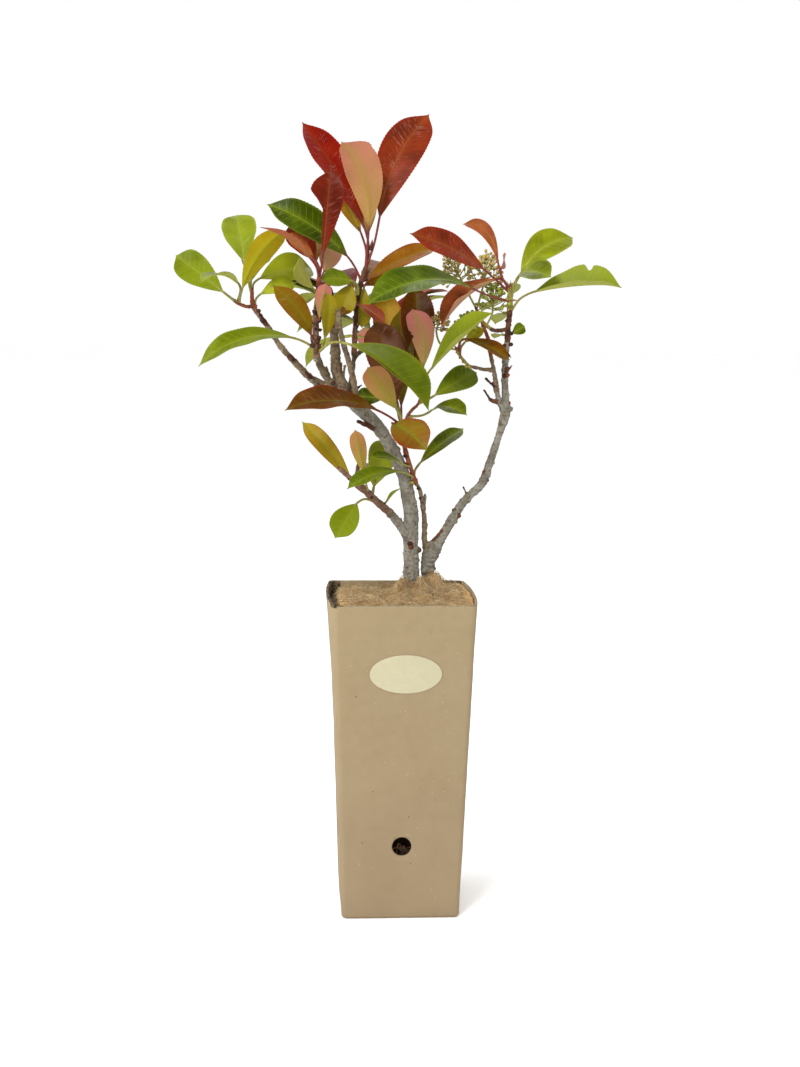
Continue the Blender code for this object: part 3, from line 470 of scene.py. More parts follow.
# Leaves: each row is the place along its twig, counted in the twig's points, then the stalk and the
# blade as (turn, rise, length), the way its upper side looks, and its shape: the width, the bow of
# the midrib towards the upper side and sideways as shares of the length, and the angle of its fold.
# Its kind comes last
CROWN_LEAVES = (
    (5.0, (108, 81, 39), (160, 57, 111), FRONT_RIGHT, (38, 0.05, 0, 14), "red"),
    (5.0, (299, 83, 36), (230, 61, 86), BACK, (38, 0.05, 0.1, 14), "red"),
    (5.0, (26, 73, 47), (29, 61, 110), FRONT, (40, 0.05, 0.08, 14), "brick"),
    (5.0, (112, 71, 33), (140, 57, 51), FRONT, (17, 0.08, 0, 14), "amber"),
    (5.0, (81, 65, 33), (93, 57, 79), BACK, (24, 0.05, 0, 14), "red"),
    (3.0, (198, 59, 25), (191, 32, 88), HALF_FRONT, (32, 0.13, 0, 14), "dark_green"),
    (3.0, (351, 16, 7), (15, 24, 72), UP_FRONT, (30, 0.06, 0, 14), "orange_brown"),
    (2.5, (72, 4, 11), (33, 11, 46), HALF_FRONT, (22, 0.1, 0, 14), "orange_brown"),
    (2.5, (57, 0, 7), (231, -86, 38), FRONT, (17, 0.05, 0, 14), "olive"),
    (1.6, (238, 56, 17), (199, 4, 31), HALF_FRONT, (19, 0.08, 0, 14), "deep_green"),
    (1.6, (224, 54, 15), (212, -66, 32), FRONT, (22, 0.08, 0, 14), "olive"),
    (1.0, (237, 8, 7), (229, -34, 19), HALF_FRONT, (9, 0.08, 0, 14), "brown"),
    (1.1, (281, -12, 8), (341, -32, 30), HALF_FRONT, (14, 0.1, 0, 30), "mauve"),
    (1.6, (109, 26, 14), (107, 12, 67), UP, (30, 0.12, 0, 14), "red"),
    (2.8, (66, 0, 15), (65, 12, 75), UP, (30, 0.12, 0, 14), "orange_brown"),
)
LEFT_LEAVES = (
    (1.1, (219, 17, 5), (229, 41, 69), FRONT, (20, 0.05, -0.06, 14), "orange_green"),
    (0.4, (209, 25, 25), (198, -14, 92), UP_FRONT, (28, 0.15, 0, 14), "green"),
    (0.15, (318, 15, 39), (344, -38, 94), UP_FRONT, (46, 0.1, 0, 40), "shade_green"),
    (2.2, (297, -21, 7), (286, 60, 38), BACK, (15, 0.05, 0, 14), "brick"),
    (0.2, (313, 50, 16), (294, 79, 44), FRONT_RIGHT, (18, 0.05, 0, 14), "olive"),
    (3.6, (223, 39, 6), (247, 35, 45), UP_LEFT, (18, 0.1, 0, 14), "lime"),
    (5.0, (283, 56, 24), (293, 78, 77), FRONT, (33, 0.08, 0, 14), "deep_red"),
    (5.0, (243, 48, 19), (221, 25, 68), UP, (16, 0.08, 0, 14), "mauve"),
    (5.0, (132, 67, 18), (202, 40, 35), HALF_FRONT, (14, 0.05, 0, 14), "light_mauve"),
    (5.0, (101, 47, 20), (140, 48, 46), FRONT, (26, 0.05, 0, 14), "deep_red"),
    (5.0, (79, 12, 26), (64, 47, 43), BACK, (22, 0.05, 0, 14), "light_mauve"),
    (5.0, (97, 31, 25), (99, 17, 74), UP, (28, 0.12, 0, 14), "orange_brown"),
)
FAR_LEFT_LEAVES = (
    (3.0, (58, 45, 17), (39, 10, 64), HALF_FRONT, (34, 0.08, 0, 14), "lime"),
    (0.4, (23, 73, 15), (21, 17, 36), HALF_FRONT, (18, 0.1, 0, 14), "lime"),
    (2.5, (139, 73, 31), (102, 49, 60), FRONT, (33, 0.08, 0, 14), "light_green"),
    (3.0, (95, 35, 17), (83, 15, 74), UP, (30, 0.12, 0, 14), "green"),
)
FAR_LEFT_SIDE_LEAVES = (
    (2.0, (180, 37, 16), (145, 31, 64), FRONT, (30, 0.05, 0, 14), "green"),
    (2.0, (285, 77, 18), (241, 2, 64), UP, (20, 0.11, 0, 14), "light_green"),
    (1.8, (306, 70, 14), (325, 48, 72), BACK, (23, 0.05, -0.08, 14), "yellow_green"),
)
CENTRE_LEAVES = (
    (0.3, (65, 34, 19), (44, 25, 69), UP_FRONT, (19, 0.05, 0, 14), "green"),
    (0.2, (227, 20, 23), (219, -9, 64), UP_FRONT, (20, 0.09, 0, 14), "deep_green"),
    (1.0, (235, 16, 18), (215, 12, 35), UP_FRONT, (16, 0.08, 0, 14), "deep_green"),
    (5.0, (225, 27, 35), (200, 3, 91), UP_FRONT, (36, 0.11, 0, 14), "brown"),
    (5.0, (214, 67, 18), (213, 50, 52), BACK, (25, 0.05, 0, 14), "blush"),
    (5.0, (139, 50, 33), (156, 2, 29), FRONT, (17, 0.05, 0, 14), "deep_green"),
    (5.0, (200, 20, 11), (308, -23, 51), HALF_FRONT, (34, 0.1, 0, 14), "red_green"),
    (5.0, (109, 60, 25), (131, 69, 80), FRONT, (38, 0.05, 0, 14), "purple_brown"),
    (5.0, (90, 42, 24), (90, 73, 95), FRONT, (25, 0.05, 0, 14), "bronze"),
    (5.0, (99, 39, 34), (106, 70, 111), FRONT, (30, 0.05, 0, 14), "amber"),
)
CENTRE_SIDE_LEAVES = (
    (4.0, (260, 67, 21), (247, 58, 66), BACK, (24, 0.05, 0.08, 14), "brick"),
    (4.0, (342, 70, 19), (323, 40, 84), UP_LEFT, (30, 0.02, 0, 46), "light_green"),
    (3.6, (95, 68, 19), (104, 77, 85), FRONT, (33, 0.05, 0, 14), "brown"),
    (3.0, (21, 23, 18), (39, 20, 59), HALF_FRONT, (26, 0.05, 0, 14), "deep_green"),
    (1.0, (343, 13, 21), (313, 0, 46), UP_FRONT, (24, 0.16, 0, 14), "green"),
)
LEFT_LOW_LEAVES = (
    (0.6, (214, 4, 25), (232, -40, 44), HALF_FRONT, (26, 0.05, 0, 14), "green"),
    (1.3, (160, 33, 21), (153, 46, 75), HALF_FRONT, (18, 0.08, 0, 14), "gold_green"),
    (1.5, (245, 60, 22), (243, 64, 47), BACK, (15, 0.05, 0, 14), "blush"),
    (1.1, (83, 36, 15), (67, 50, 54), FRONT, (28, 0.05, 0, 14), "pale_green"),
    (0.2, (75, 20, 10), (58, 19, 33), UP_LEFT, (7, 0.05, 0, 14), "light_green"),
    (1.0, (87, 18, 24), (80, 6, 76), UP, (28, 0.12, 0, 14), "green"),
)
RIGHT_LEAVES = (
    (3.6, (201, 38, 35), (210, 21, 88), HALF_FRONT, (28, 0.07, 0, 14), "brick"),
    (3.8, (189, 64, 28), (126, 36, 63), UP_LEFT, (14, 0.1, -0.18, 24), "orange_red"),
    (3.8, (137, 60, 23), (80, 20, 39), RIGHT, (12, 0.05, 0, 14), "brick"),
    (3.5, (196, 46, 20), (198, -39, 71), UP_LEFT, (31, 0.1, 0, 46), "light_mauve"),
    (3.0, (214, 14, 46), (205, -7, 111), UP_FRONT, (42, 0.15, 0, 14), "dark_green"),
    (3.4, (35, 59, 24), (26, 31, 69), FRONT_LEFT, (32, 0.05, 0.1, 14), "lime"),
    (3.4, (6, 66, 22), (300, -3, 46), HALF_FRONT, (29, 0.12, 0, 14), "light_green"),
    (2.0, (345, 42, 30), (344, 5, 81), UP_FRONT, (38, 0.04, 0, 45), "light_green"),
    (0.4, (31, 10, 5), (20, 28, 15), FRONT, (12, 0.05, 0, 14), "deep_green"),
    (0.3, (117, 3, 10), (99, -9, 26), UP, (11, 0.05, 0, 14), "shade_green"),
    (2.0, (94, 2, 14), (92, -9, 70), UP, (15, 0.02, 0, 8), "shade_green"),
    (3.4, (75, 24, 30), (84, -9, 66), UP, (15, 0.02, 0, 8), "shade_green"),
    (3.0, (113, 2, 18), (99, -9, 66), UP, (15, 0.02, 0, 8), "shade_green"),
)
INNER_LEAVES = (
    (1.5, (23, 65, 12), (18, 36, 23), HALF_FRONT, (12, 0.05, 0, 14), "yellow_green"),
    (1.5, (314, 64, 16), (351, -25, 45), UP_FRONT, (20, 0.08, 0, 14), "orange_green"),
)

# Blades with an edge of their own: the leaf by tuft, twig and row, and for its two halves, first the
# one on the minus side of the crossways vector, the share of its usual width at places along it
OWN_EDGES = {
    ("crown_tuft", 0, 1): (
        ((0, 0.8), (0.6, 0.74), (0.85, 0.6), (1, 1)),
        ((0, 1), (0.6, 1.05), (0.8, 1.2), (0.93, 1.75), (1, 1.2)),
    ),
    ("left_tuft", 0, 6): (
        ((0, 0.7), (0.2, 0.62), (0.4, 0.68), (0.7, 0.88), (1, 1)),
        ((0, 0.5), (0.3, 0.25), (0.55, 0.25), (0.66, 0.6), (0.76, 1.1), (0.9, 1.15), (1, 1)),
    ),
    ("centre_tuft", 1, 0): (
        ((0, 1), (0.44, 1), (0.47, 0.82), (0.5, 0.7), (0.53, 0.94), (0.56, 0.8), (0.6, 1), (1, 1)),
        ((0, 1), (1, 1)),
    ),
    ("right_tuft", 0, 7): (
        ((0, 1), (1, 1)),
        ((0, 1), (0.6, 1), (0.63, 0.72), (0.66, 0.7), (0.7, 1), (1, 1)),
    ),
}

# Tufts: the limb whose tip each grows from, and its twigs as (points, radii, leaf rows). The first
# point of the first twig is that tip
TUFTS = {
    "crown_tuft": ("leader", (
        (((-43, 10, 568), (-41, 10, 579), (-39, 10, 589), (-37, 9, 595), (-35, 8, 601)),
         (1.9, 2.0, 2.0, 2.3, 2.2, 2.4), CROWN_LEAVES),
    )),
    "left_tuft": ("left_bough", (
        (((-81, -17, 536), (-81, -16, 554), (-80, -14, 570), (-79, -12, 583), (-78, -11, 592)),
         (3.1, 3.0, 2.9, 2.4, 1.9, 2.3), LEFT_LEAVES),
    )),
    "far_left_tuft": ("far_left_bough", (
        (((-138, 10, 565), (-139, 10, 572), (-139, 10, 578)), (2.2, 2.2, 1.8, 1.8), FAR_LEFT_LEAVES),
        (((-138, 10, 565), (-145, 5, 565), (-152, 2, 568)), (1.6, 1.5, 1.7), FAR_LEFT_SIDE_LEAVES),
    )),
    "centre_tuft": ("centre_shoot", (
        (((7, -8, 420), (4, -9, 429), (2, -10, 436), (0, -11, 447), (-1, -12, 457)),
         (2.1, 2.0, 2.2, 2.2, 2.0, 2.3), CENTRE_LEAVES),
        (((0, -12, 454), (4, -6, 466), (9, 0, 472), (15, 8, 477), (20, 10, 491)),
         (1.5, 1.5, 1.4, 1.3, 1.4), CENTRE_SIDE_LEAVES),
    )),
    "left_low_tuft": ("left_low_bough", (
        (((-27, -18, 391), (-37, -22, 401), (-48, -26, 410)), (3.6, 3.3, 3.1, 2.6), LEFT_LOW_LEAVES),
        (((-46, -25, 408), (-58, -28, 419)), (2.3, 1.9), ()),
        (((-46, -25, 408), (-43, -24, 414), (-42, -24, 422)), (2.0, 1.9, 1.7), ()),
    )),
    "right_tuft": ("upper_right_bough", (
        (((99, 20, 547), (100, 18, 561), (100, 17, 572), (100, 16, 584)),
         (2.7, 2.5, 2.4, 2.7, 1.8), RIGHT_LEAVES),
        (((99, 20, 546), (86, 12, 545), (78, 4, 549), (70, -4, 556)), (1.9, 1.8, 1.6, 1.1), ()),
    )),
    "bloom_tuft": ("right_side_branch", (
        (((80, 16, 537), (77, 20, 546), (73, 20, 556), (69, 18, 564)), (1.9, 1.7, 1.6, 1.5, 1.4), ()),
    )),
    "inner_tuft": ("right_twig", (
        (((55, 6, 519), (50, 4, 527)), (1.5, 1.4, 1.4), INNER_LEAVES),
    )),
    "back_tuft": ("back_bough", (
        (((-19, 70, 541),), (1.8, 1.6), ()),
    )),
    "back_left_tuft": ("upright_bough", (
        (((-64, 10, 561), (-65, 30, 572), (-66, 50, 581)), (3.2, 2.4, 2.0, 1.6), ()),
    )),
}

# Leaves that follow a rule: how many, the arc they are turned through, their rises, lengths and widths
FANS = {
    "back_tuft": (11, (15, 165), (-25, 40), (58, 84), (24, 32)),
    "back_left_tuft": (9, (60, 150), (-25, 30), (48, 70), (20, 28)),
}
FAN_KINDS = ("green", "red", "green", "light_green", "brick", "green", "olive")
RED_TUFTS = ("crown_tuft", "left_tuft")

# Flower heads: points of the stalk, the reach of the head round its end, the number of side stalks,
# and the look of the buds
HEADS = {
    "bloom_tuft": (
        (((69, 18, 564), (56, 14, 587), (48, 12, 602)), 16, 15, "flower_bud"),
        (((69, 18, 564), (75, 26, 583), (79, 30, 602)), 15, 15, "flower_bud"),
        (((77, 20, 546), (84, 22, 560), (85, 22, 573)), 15, 14, "green_bud"),
    ),
    "inner_tuft": (
        (((50, 4, 527), (56, 9, 542), (60, 12, 553)), 10, 9, "green_bud"),
        (((50, 4, 527), (36, 8, 531), (31, 9, 543), (33, 9, 552)), 9, 9, "flower_bud"),
    ),
}

# Bark of the twigs: below and above a share of their length
TWIG_BARKS = {
    "left_low_tuft": ("pink_bark", "pink_bark", 0.5),
    "far_left_tuft": ("pink_bark", "red_twig", 0.3),
    "left_tuft": ("pink_bark", "red_twig", 0.75),
    "crown_tuft": ("dark_scar", "twig_bark", 0.7),
    "centre_tuft": ("red_twig", "red_twig", 0.5),
    "bloom_tuft": ("red_twig", "red_twig", 0.5),
    "inner_tuft": ("green_twig", "green_twig", 0.5),
    "right_tuft": ("twig_bark", "green_twig", 0.55),
}
USUAL_TWIG_BARK = ("twig_bark", "twig_bark", 0.5)

# Knobs and scales on the tufts' twigs: (centre, radius, look), and (foot, tip, radius, look)
TWIG_BUDS = {
    "crown_tuft": ((
        ((-42, 10, 572), 1.8, "dark_scar"), ((-45, 9, 556), 1.9, "dark_scar"),
        ((-42, 8, 543), 1.4, "dark_bark"), ((-44, 8, 531), 1.9, "dark_scar"),
        ((-35, 9, 591), 2.3, "dark_scar"), ((-39, 9, 586), 1.9, "dark_scar"),
    ), (
        ((-37, 9, 589), (-39, 9, 599), 1.0, "dark_scar"),
        ((-36, 9, 591), (-31, 8, 601), 1.1, "dark_scar"),
        ((-30.5, 10, 617), (-29, 10, 627), 1.6, "twig_bark"),
        ((-44, 9, 569), (-47, 9, 575), 0.8, "dark_scar"),
        ((-43, 7, 545), (-40, 7, 552), 0.8, "dark_scar"),
    )),
    "left_tuft": ((
        ((-84, -20, 531), 2.8, "dark_scar"), ((-77, -20, 530), 2.8, "dark_scar"),
        ((-80, -21, 535), 2.8, "dark_scar"), ((-84, -19, 538), 2.2, "twig_bark"),
        ((-78, -19, 538), 2.2, "dark_scar"), ((-81, -21, 526), 2.6, "twig_bark"),
        ((-77.5, -17, 545), 1.9, "dark_scar"), ((-78, -17, 555), 1.8, "dark_scar"),
        ((-80, -19, 566), 2.9, "dark_scar"), ((-82, -19, 561), 2.3, "dark_scar"),
        ((-78, -17, 563), 2.2, "twig_bark"), ((-78, -17, 553), 2.0, "dark_scar"),
        ((-84.5, -17, 551), 1.4, "dark_scar"),
    ), (
        ((-78, -18, 544), (-75, -18, 546), 1.3, "dark_scar"),
        ((-79, -18, 534), (-76, -18, 539), 1.2, "dark_scar"),
        ((-79, -18, 529), (-75, -18, 533), 1.2, "dark_scar"),
        ((-83, -18, 532), (-86, -18, 537), 1.2, "dark_scar"),
        ((-80, -17, 568), (-78, -17, 572), 1.1, "red_twig"),
        ((-78, -17, 554), (-75, -17, 557), 0.8, "dark_scar"),
    )),
    "far_left_tuft": ((
        ((-135.5, 9, 565.5), 1.5, "red_twig"), ((-133, 8, 561), 2.2, "dark_scar"),
    ), (
        ((-137, 8.5, 567), (-141, 8, 569), 1.0, "red_twig"),
    )),
    "right_tuft": ((
        ((100, 17, 543), 2.2, "dark_scar"), ((102, 20, 532), 2.3, "dark_scar"),
        ((96, 20, 531), 2.0, "dark_scar"), ((98, 20, 524), 1.8, "dark_scar"),
        ((102, 18, 542), 2.0, "dark_scar"), ((97, 17, 554), 1.6, "dark_scar"),
        ((100, 16, 573), 2.1, "red_twig"),
    ), (
        ((99, 15, 575), (97, 15, 591), 1.1, "green_stalk"),
        ((101, 16, 575), (100, 16, 592), 1.2, "green_stalk"),
        ((102, 16, 576), (103, 16, 590), 1.0, "green_stalk"),
        ((101, 16, 573), (107, 16, 573), 0.9, "red_twig"),
        ((99, 22, 524), (103, 22, 519), 1.0, "dark_scar"),
        ((101, 19, 541), (105, 19, 545), 1.3, "dark_scar"),
    )),
    "centre_tuft": ((
        ((9, -9, 405), 2.0, "green_stalk"), ((4, -10, 421), 2.0, "dark_scar"),
        ((2, -11, 430), 2.2, "dark_scar"), ((15, -5, 399), 1.8, "dark_scar"),
    ), (
        ((3, -10, 422), (-1, -10, 424), 0.9, "dark_scar"),
        ((13, -8, 404), (14, -8, 409), 1.0, "red_twig"),
    )),
    "inner_tuft": ((
        ((59, 6, 512), 1.7, "green_twig"), ((56, 5, 516), 1.6, "green_twig"),
        ((53, 4, 520), 1.6, "green_twig"), ((50, 4, 525), 1.5, "green_twig"),
    ), ()),
}

MATERIALS = {}


# Vectors and curves

def direction(turn, rise):
    """The unit vector that turns this far round and rises this far above level."""
    turn, rise = math.radians(turn), math.radians(rise)
    return Vector((math.cos(turn) * math.cos(rise), math.sin(turn) * math.cos(rise), math.sin(rise)))


def along(points, place):
    """The point at this place along a line, counted in its points."""
    index = min(int(place), len(points) - 2)
    return points[index].lerp(points[index + 1], place - index)


def curve_through(points, radii, step):
    """A smooth line through points, with its radii, as arrays spaced about a step apart."""
    knots = np.array([[*point, radius] for point, radius in zip(points, radii)], float)
    knots = np.vstack([2 * knots[0] - knots[1], knots, 2 * knots[-1] - knots[-2]])
    rows = []
    for i in range(1, len(knots) - 2):
        before, start, end, after = knots[i - 1:i + 3]
        count = max(2, int(round(np.linalg.norm((end - start)[:3]) / step)))
        for u in np.arange(count) / count:
            rows.append(0.5 * (2 * start + (end - before) * u
                               + (2 * before - 5 * start + 4 * end - after) * u ** 2
                               + (3 * start - before - 3 * end + after) * u ** 3))
    rows.append(knots[-2])
    rows = np.array(rows)
    return rows[:, :3], np.maximum(rows[:, 3], 0.05)


def distances(line):
    """How far along a line each of its points lies."""
    return np.concatenate([[0], np.cumsum(np.linalg.norm(np.diff(line, axis=0), axis=1))])


def unit(vectors):
    """Vectors made one long."""
    return vectors / np.maximum(np.linalg.norm(vectors, axis=-1, keepdims=True), 1e-9)


def crossways(axis):
    """A vector at right angles to an axis."""
    return np.cross(axis, (0.0, 0.0, 1.0) if abs(axis[2]) < 0.9 else (1.0, 0.0, 0.0))


def frames_along(line):
    """The tangent and two crossways vectors at each point, carried along without twist."""
    run = unit(np.gradient(line, axis=0))
    across = np.empty_like(run)
    side = crossways(run[0])
    for i, way in enumerate(run):
        side = side - way * np.dot(side, way)
        side = side / np.linalg.norm(side)
        across[i] = side
    return run, across, np.cross(run, across)


def spin(point, angle):
    """A flat point turned round the origin."""
    cos, sin = math.cos(angle), math.sin(angle)
    return (point[0] * cos - point[1] * sin, point[0] * sin + point[1] * cos)


def smooth_step(value):
    """A slope from 0 to 1 with soft ends."""
    value = min(max(value, 0.0), 1.0)
    return value * value * (3 - 2 * value)


def waves(spot, layers):
    """Noise at a place, added up from layers of (height, size)."""
    return sum(height * noise.noise(spot / size) for height, size in layers)


def fan_out(axis, across, other, lean, around):
    """A direction that leans off an axis and is turned round it."""
    return axis * math.cos(lean) + (across * math.cos(around) + other * math.sin(around)) * math.sin(lean)


# Meshes

class Batch:
    """Meshes that are joined into one piece, each face with the material that it wears."""

    def __init__(self):
        self.vertices = []
        self.faces = []
        self.worn = []
        self.marks = []
        self.count = 0

    def add(self, vertices, faces, material, marks=None):
        """Adds a mesh; material is one for all faces, or a list with one for each.
        Marks are the numbers for each vertex that a leaf's material reads."""
        vertices = np.asarray(vertices, float)
        self.vertices.append(vertices)
        if marks is not None:
            self.marks.append(marks)
        self.faces += [tuple(index + self.count for index in face) for face in faces]
        self.worn += list(material) if isinstance(material, list) else [material] * len(faces)
        self.count += len(vertices)

    def build(self, name, sharp=None):
        """The joined mesh as one object."""
        materials = sorted(set(self.worn))
        mesh = bpy.data.meshes.new(name)
        mesh.from_pydata((np.concatenate(self.vertices) * MM).tolist(), [], self.faces)
        for material in materials:
            mesh.materials.append(MATERIALS[material])
        slots = {material: index for index, material in enumerate(materials)}
        mesh.polygons.foreach_set("material_index", [slots[material] for material in self.worn])
        mesh.update()
        mesh.shade_smooth()
        if sharp:
            mesh.set_sharp_from_angle(angle=math.radians(sharp))
        if self.marks:
            for mark, values in zip(LEAF_MARKS, np.concatenate(self.marks).T):
                set_mark(mesh, mark, values)
        return link_object(mesh)


def set_mark(mesh, name, values):
    """Gives each vertex a number that materials can read."""
    attribute = mesh.attributes.new(name, "FLOAT", "POINT")
    attribute.data.foreach_set("value", values.astype(np.float32))


def link_object(data):
    """A new object in the scene, named as its data."""
    obj = bpy.data.objects.new(data.name, data)
    bpy.context.scene.collection.objects.link(obj)
    return obj


def one_piece(name, vertices, faces, material, sharp=None):
    """An object made of a single mesh."""
    batch = Batch()
    batch.add(vertices, faces, material)
    return batch.build(name, sharp)


def dress(obj, slot, *nodes):
    """Makes an object a piece of the part that stands for these solids."""
    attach(obj, "root")
    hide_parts(*nodes)


def grid_faces(rows, columns, wrap=False):
    """Faces of a grid of points, row by row; wrap joins the last column to the first."""
    faces = []
    for row in range(rows - 1):
        low, high = row * columns, (row + 1) * columns
        for i in range(columns if wrap else columns - 1):
            j = (i + 1) % columns
            faces.append((low + i, low + j, high + j, high + i))
    return faces


def closed_faces(rows, columns):
    """Faces of rings of points, and last the two that close the ends."""
    ends = [tuple(reversed(range(columns))), tuple(range((rows - 1) * columns, rows * columns))]
    return grid_faces(rows, columns, wrap=True) + ends


def border_loop(rows, columns):
    """The points round the border of a grid, in order."""
    last_row, last = rows - 1, columns - 1
    return ([i for i in range(last)] + [i * columns + last for i in range(last_row)]
            + [last_row * columns + i for i in range(last, 0, -1)]
            + [i * columns for i in range(last_row, 0, -1)])


def rings_round(line, radii, across, other, sides):
    """Round rings of points about a line."""
    turns = 2 * np.pi * np.arange(sides) / sides
    round_way = np.cos(turns)[None, :, None] * across + np.sin(turns)[None, :, None] * other
    return (line[:, None] + radii[:, None, None] * round_way).reshape(-1, 3)


def tube(line, radii, sides, round_end=True):
    """Vertices and faces of a closed round tube along a line, its far end rounded off."""
    run, across, other = frames_along(line)
    if round_end:
        bend = np.radians((30.0, 60.0, 85.0))
        line = np.vstack([line, line[-1] + run[-1] * radii[-1] * np.sin(bend)[:, None]])
        radii = np.concatenate([radii, radii[-1] * np.cos(bend)])
        across = np.vstack([across, np.repeat(across[-1:], 3, axis=0)])
        other = np.vstack([other, np.repeat(other[-1:], 3, axis=0)])
    rings = rings_round(line, radii, across[:, None], other[:, None], sides)
    return rings, closed_faces(len(line), sides)


def ball(centre, axis, radius, length, sides=8, rings=5):
    """A closed egg along an axis."""
    axis = np.asarray(axis, float) / np.linalg.norm(axis)
    angles = np.linspace(0.12, np.pi - 0.12, rings)
    line = np.asarray(centre, float) - axis * (np.cos(angles) * length)[:, None]
    side = crossways(axis)
    side = side / np.linalg.norm(side)
    loops = rings_round(line, np.sin(angles) * radius, side, np.cross(axis, side), sides)
    return loops, closed_faces(rings, sides)


def evaluated_mesh(obj):
    """The mesh that an object's modifiers make."""
    graph = bpy.context.evaluated_depsgraph_get()
    graph.update()
    return bpy.data.meshes.new_from_object(obj.evaluated_get(graph))


def apply_modifiers(obj):
    """Puts what the modifiers make in place of the object's mesh."""
    result = evaluated_mesh(obj)
    obj.modifiers.clear()
    old = obj.data
    obj.data = result
    bpy.data.meshes.remove(old)
    result.name = obj.name


def cut_away(obj, cutter):
    """Cuts the cutter's shape out of an object; the cut wears the cutter's material."""
    modifier = obj.modifiers.new("cut", "BOOLEAN")
    modifier.operation = "DIFFERENCE"
    modifier.solver = "EXACT"
    modifier.object = cutter
    apply_modifiers(obj)
    mesh = cutter.data
    bpy.data.objects.remove(cutter)
    bpy.data.meshes.remove(mesh)


# Materials

def screen(colour):
    """The base colour, as linear light, that the lamps turn into this screen colour, from 0 to 255."""
    linear = [(c / 255 / 12.92) if c <= 10 else ((c / 255 + 0.055) / 1.055) ** 2.4 for c in colour]
    return tuple(share / LIGHT_GAIN for share in linear)


def shade(colour, share):
    """A screen colour made darker or paler."""
    return tuple(min(255.0, c * share) for c in colour)


class Surface:
    """A Principled material whose sockets are fed by noise in the part's own coordinates."""

    def __init__(self, name, roughness, specular=0.5):
        self.name = name
        self.material = bpy.data.materials.new(name)
        self.material.use_nodes = True
        self.tree = self.material.node_tree
        self.shader = self.tree.nodes["Principled BSDF"]
        self.shader.inputs["Roughness"].default_value = roughness
        self.shader.inputs["Specular IOR Level"].default_value = specular
        self.coordinates = self.tree.nodes.new("ShaderNodeTexCoord").outputs["Object"]

    def link(self, output, socket):
        """Joins a node's output to another's socket."""
        self.tree.links.new(output, socket)

    def node(self, kind, **inputs):
        """A new node, each named input set to a number or fed by another node's output."""
        node = self.tree.nodes.new(f"ShaderNode{kind}")
        for name, value in inputs.items():
            self.feed(node.inputs[name], value)
        return node

    def feed(self, socket, value):
        """Sets a socket to a number or a tuple, or joins another node's output to it."""
        if isinstance(value, (int, float, tuple)):
            socket.default_value = value
        else:
            self.link(value, socket)

    def noise(self, size, detail=4.0, stretch=None):
        """Noise whose patches are about this many millimetres across."""
        inputs = {"Scale": 1000.0 / size, "Detail": detail, "Roughness": 0.55}
        return self.node("TexNoise", Vector=self.mapped(stretch), **inputs).outputs["Fac"]

    def cells(self, size, stretch=None):
        """The distance to the nearest of points strewn about this many millimetres apart."""
        return self.node("TexVoronoi", Scale=1000.0 / size, Vector=self.mapped(stretch)).outputs["Distance"]

    def mapped(self, stretch):
        """The part's coordinates, each multiplied by its own number."""
        if stretch is None:
            return self.coordinates
        return self.node("Mapping", Scale=stretch, Vector=self.coordinates).outputs["Vector"]

    def height(self):
        """The height above the ground, in metres."""
        return self.node("SeparateXYZ", Vector=self.coordinates).outputs["Z"]

    def mark(self, name):
        """One of the numbers that each vertex carries."""
        node = self.node("Attribute")
        node.attribute_name = name
        return node.outputs["Fac"]

    def span(self, value, low, high, low_out=0.0, high_out=1.0):
        """A value's range turned into another, held at its ends."""
        ends = {"From Min": low, "From Max": high, "To Min": low_out, "To Max": high_out}
        return self.node("MapRange", Value=value, **ends).outputs["Result"]

    def fade(self, value, low, high):
        """1 where a value is low, down to 0 where it is high."""
        return self.span(value, low, high, 1.0, 0.0)

    def total(self, first, second, operation="ADD"):
        """Two values joined by an operation."""
        node = self.node("Math")
        node.operation = operation
        self.feed(node.inputs[0], first)
        self.feed(node.inputs[1], second)
        return node.outputs["Value"]

    def product(self, first, second):
        """One value times another."""
        return self.total(first, second, "MULTIPLY")

    def blend(self, share, first, second):
        """Two colours mixed; each is a screen colour or another node's output."""
        node = self.node("Mix")
        node.data_type = "RGBA"
        self.link(share, node.inputs["Factor"])
        for name, colour in zip(("A", "B"), (first, second)):
            socket = next(i for i in node.inputs if i.name == name and i.type == "RGBA")
            self.feed(socket, (*screen(colour), 1.0) if isinstance(colour, tuple) else colour)
        return next(o for o in node.outputs if o.type == "RGBA")

    def tint(self, base, share, strength, colour):
        """The base mixed towards a colour, at most this strongly, where the share is 1."""
        return self.blend(self.product(share, strength), base, colour)

    def finish(self, colour, height=None, bump=0.3, depth=0.3, roughness=None):
        """Feeds the shader; depth is the bump's height in millimetres."""
        self.link(colour, self.shader.inputs["Base Color"])
        if roughness is not None:
            self.link(roughness, self.shader.inputs["Roughness"])
        if height is not None:
            node = self.node("Bump", Strength=bump, Distance=depth * MM, Height=height)
            self.link(node.outputs["Normal"], self.shader.inputs["Normal"])
        MATERIALS[self.name] = self.material


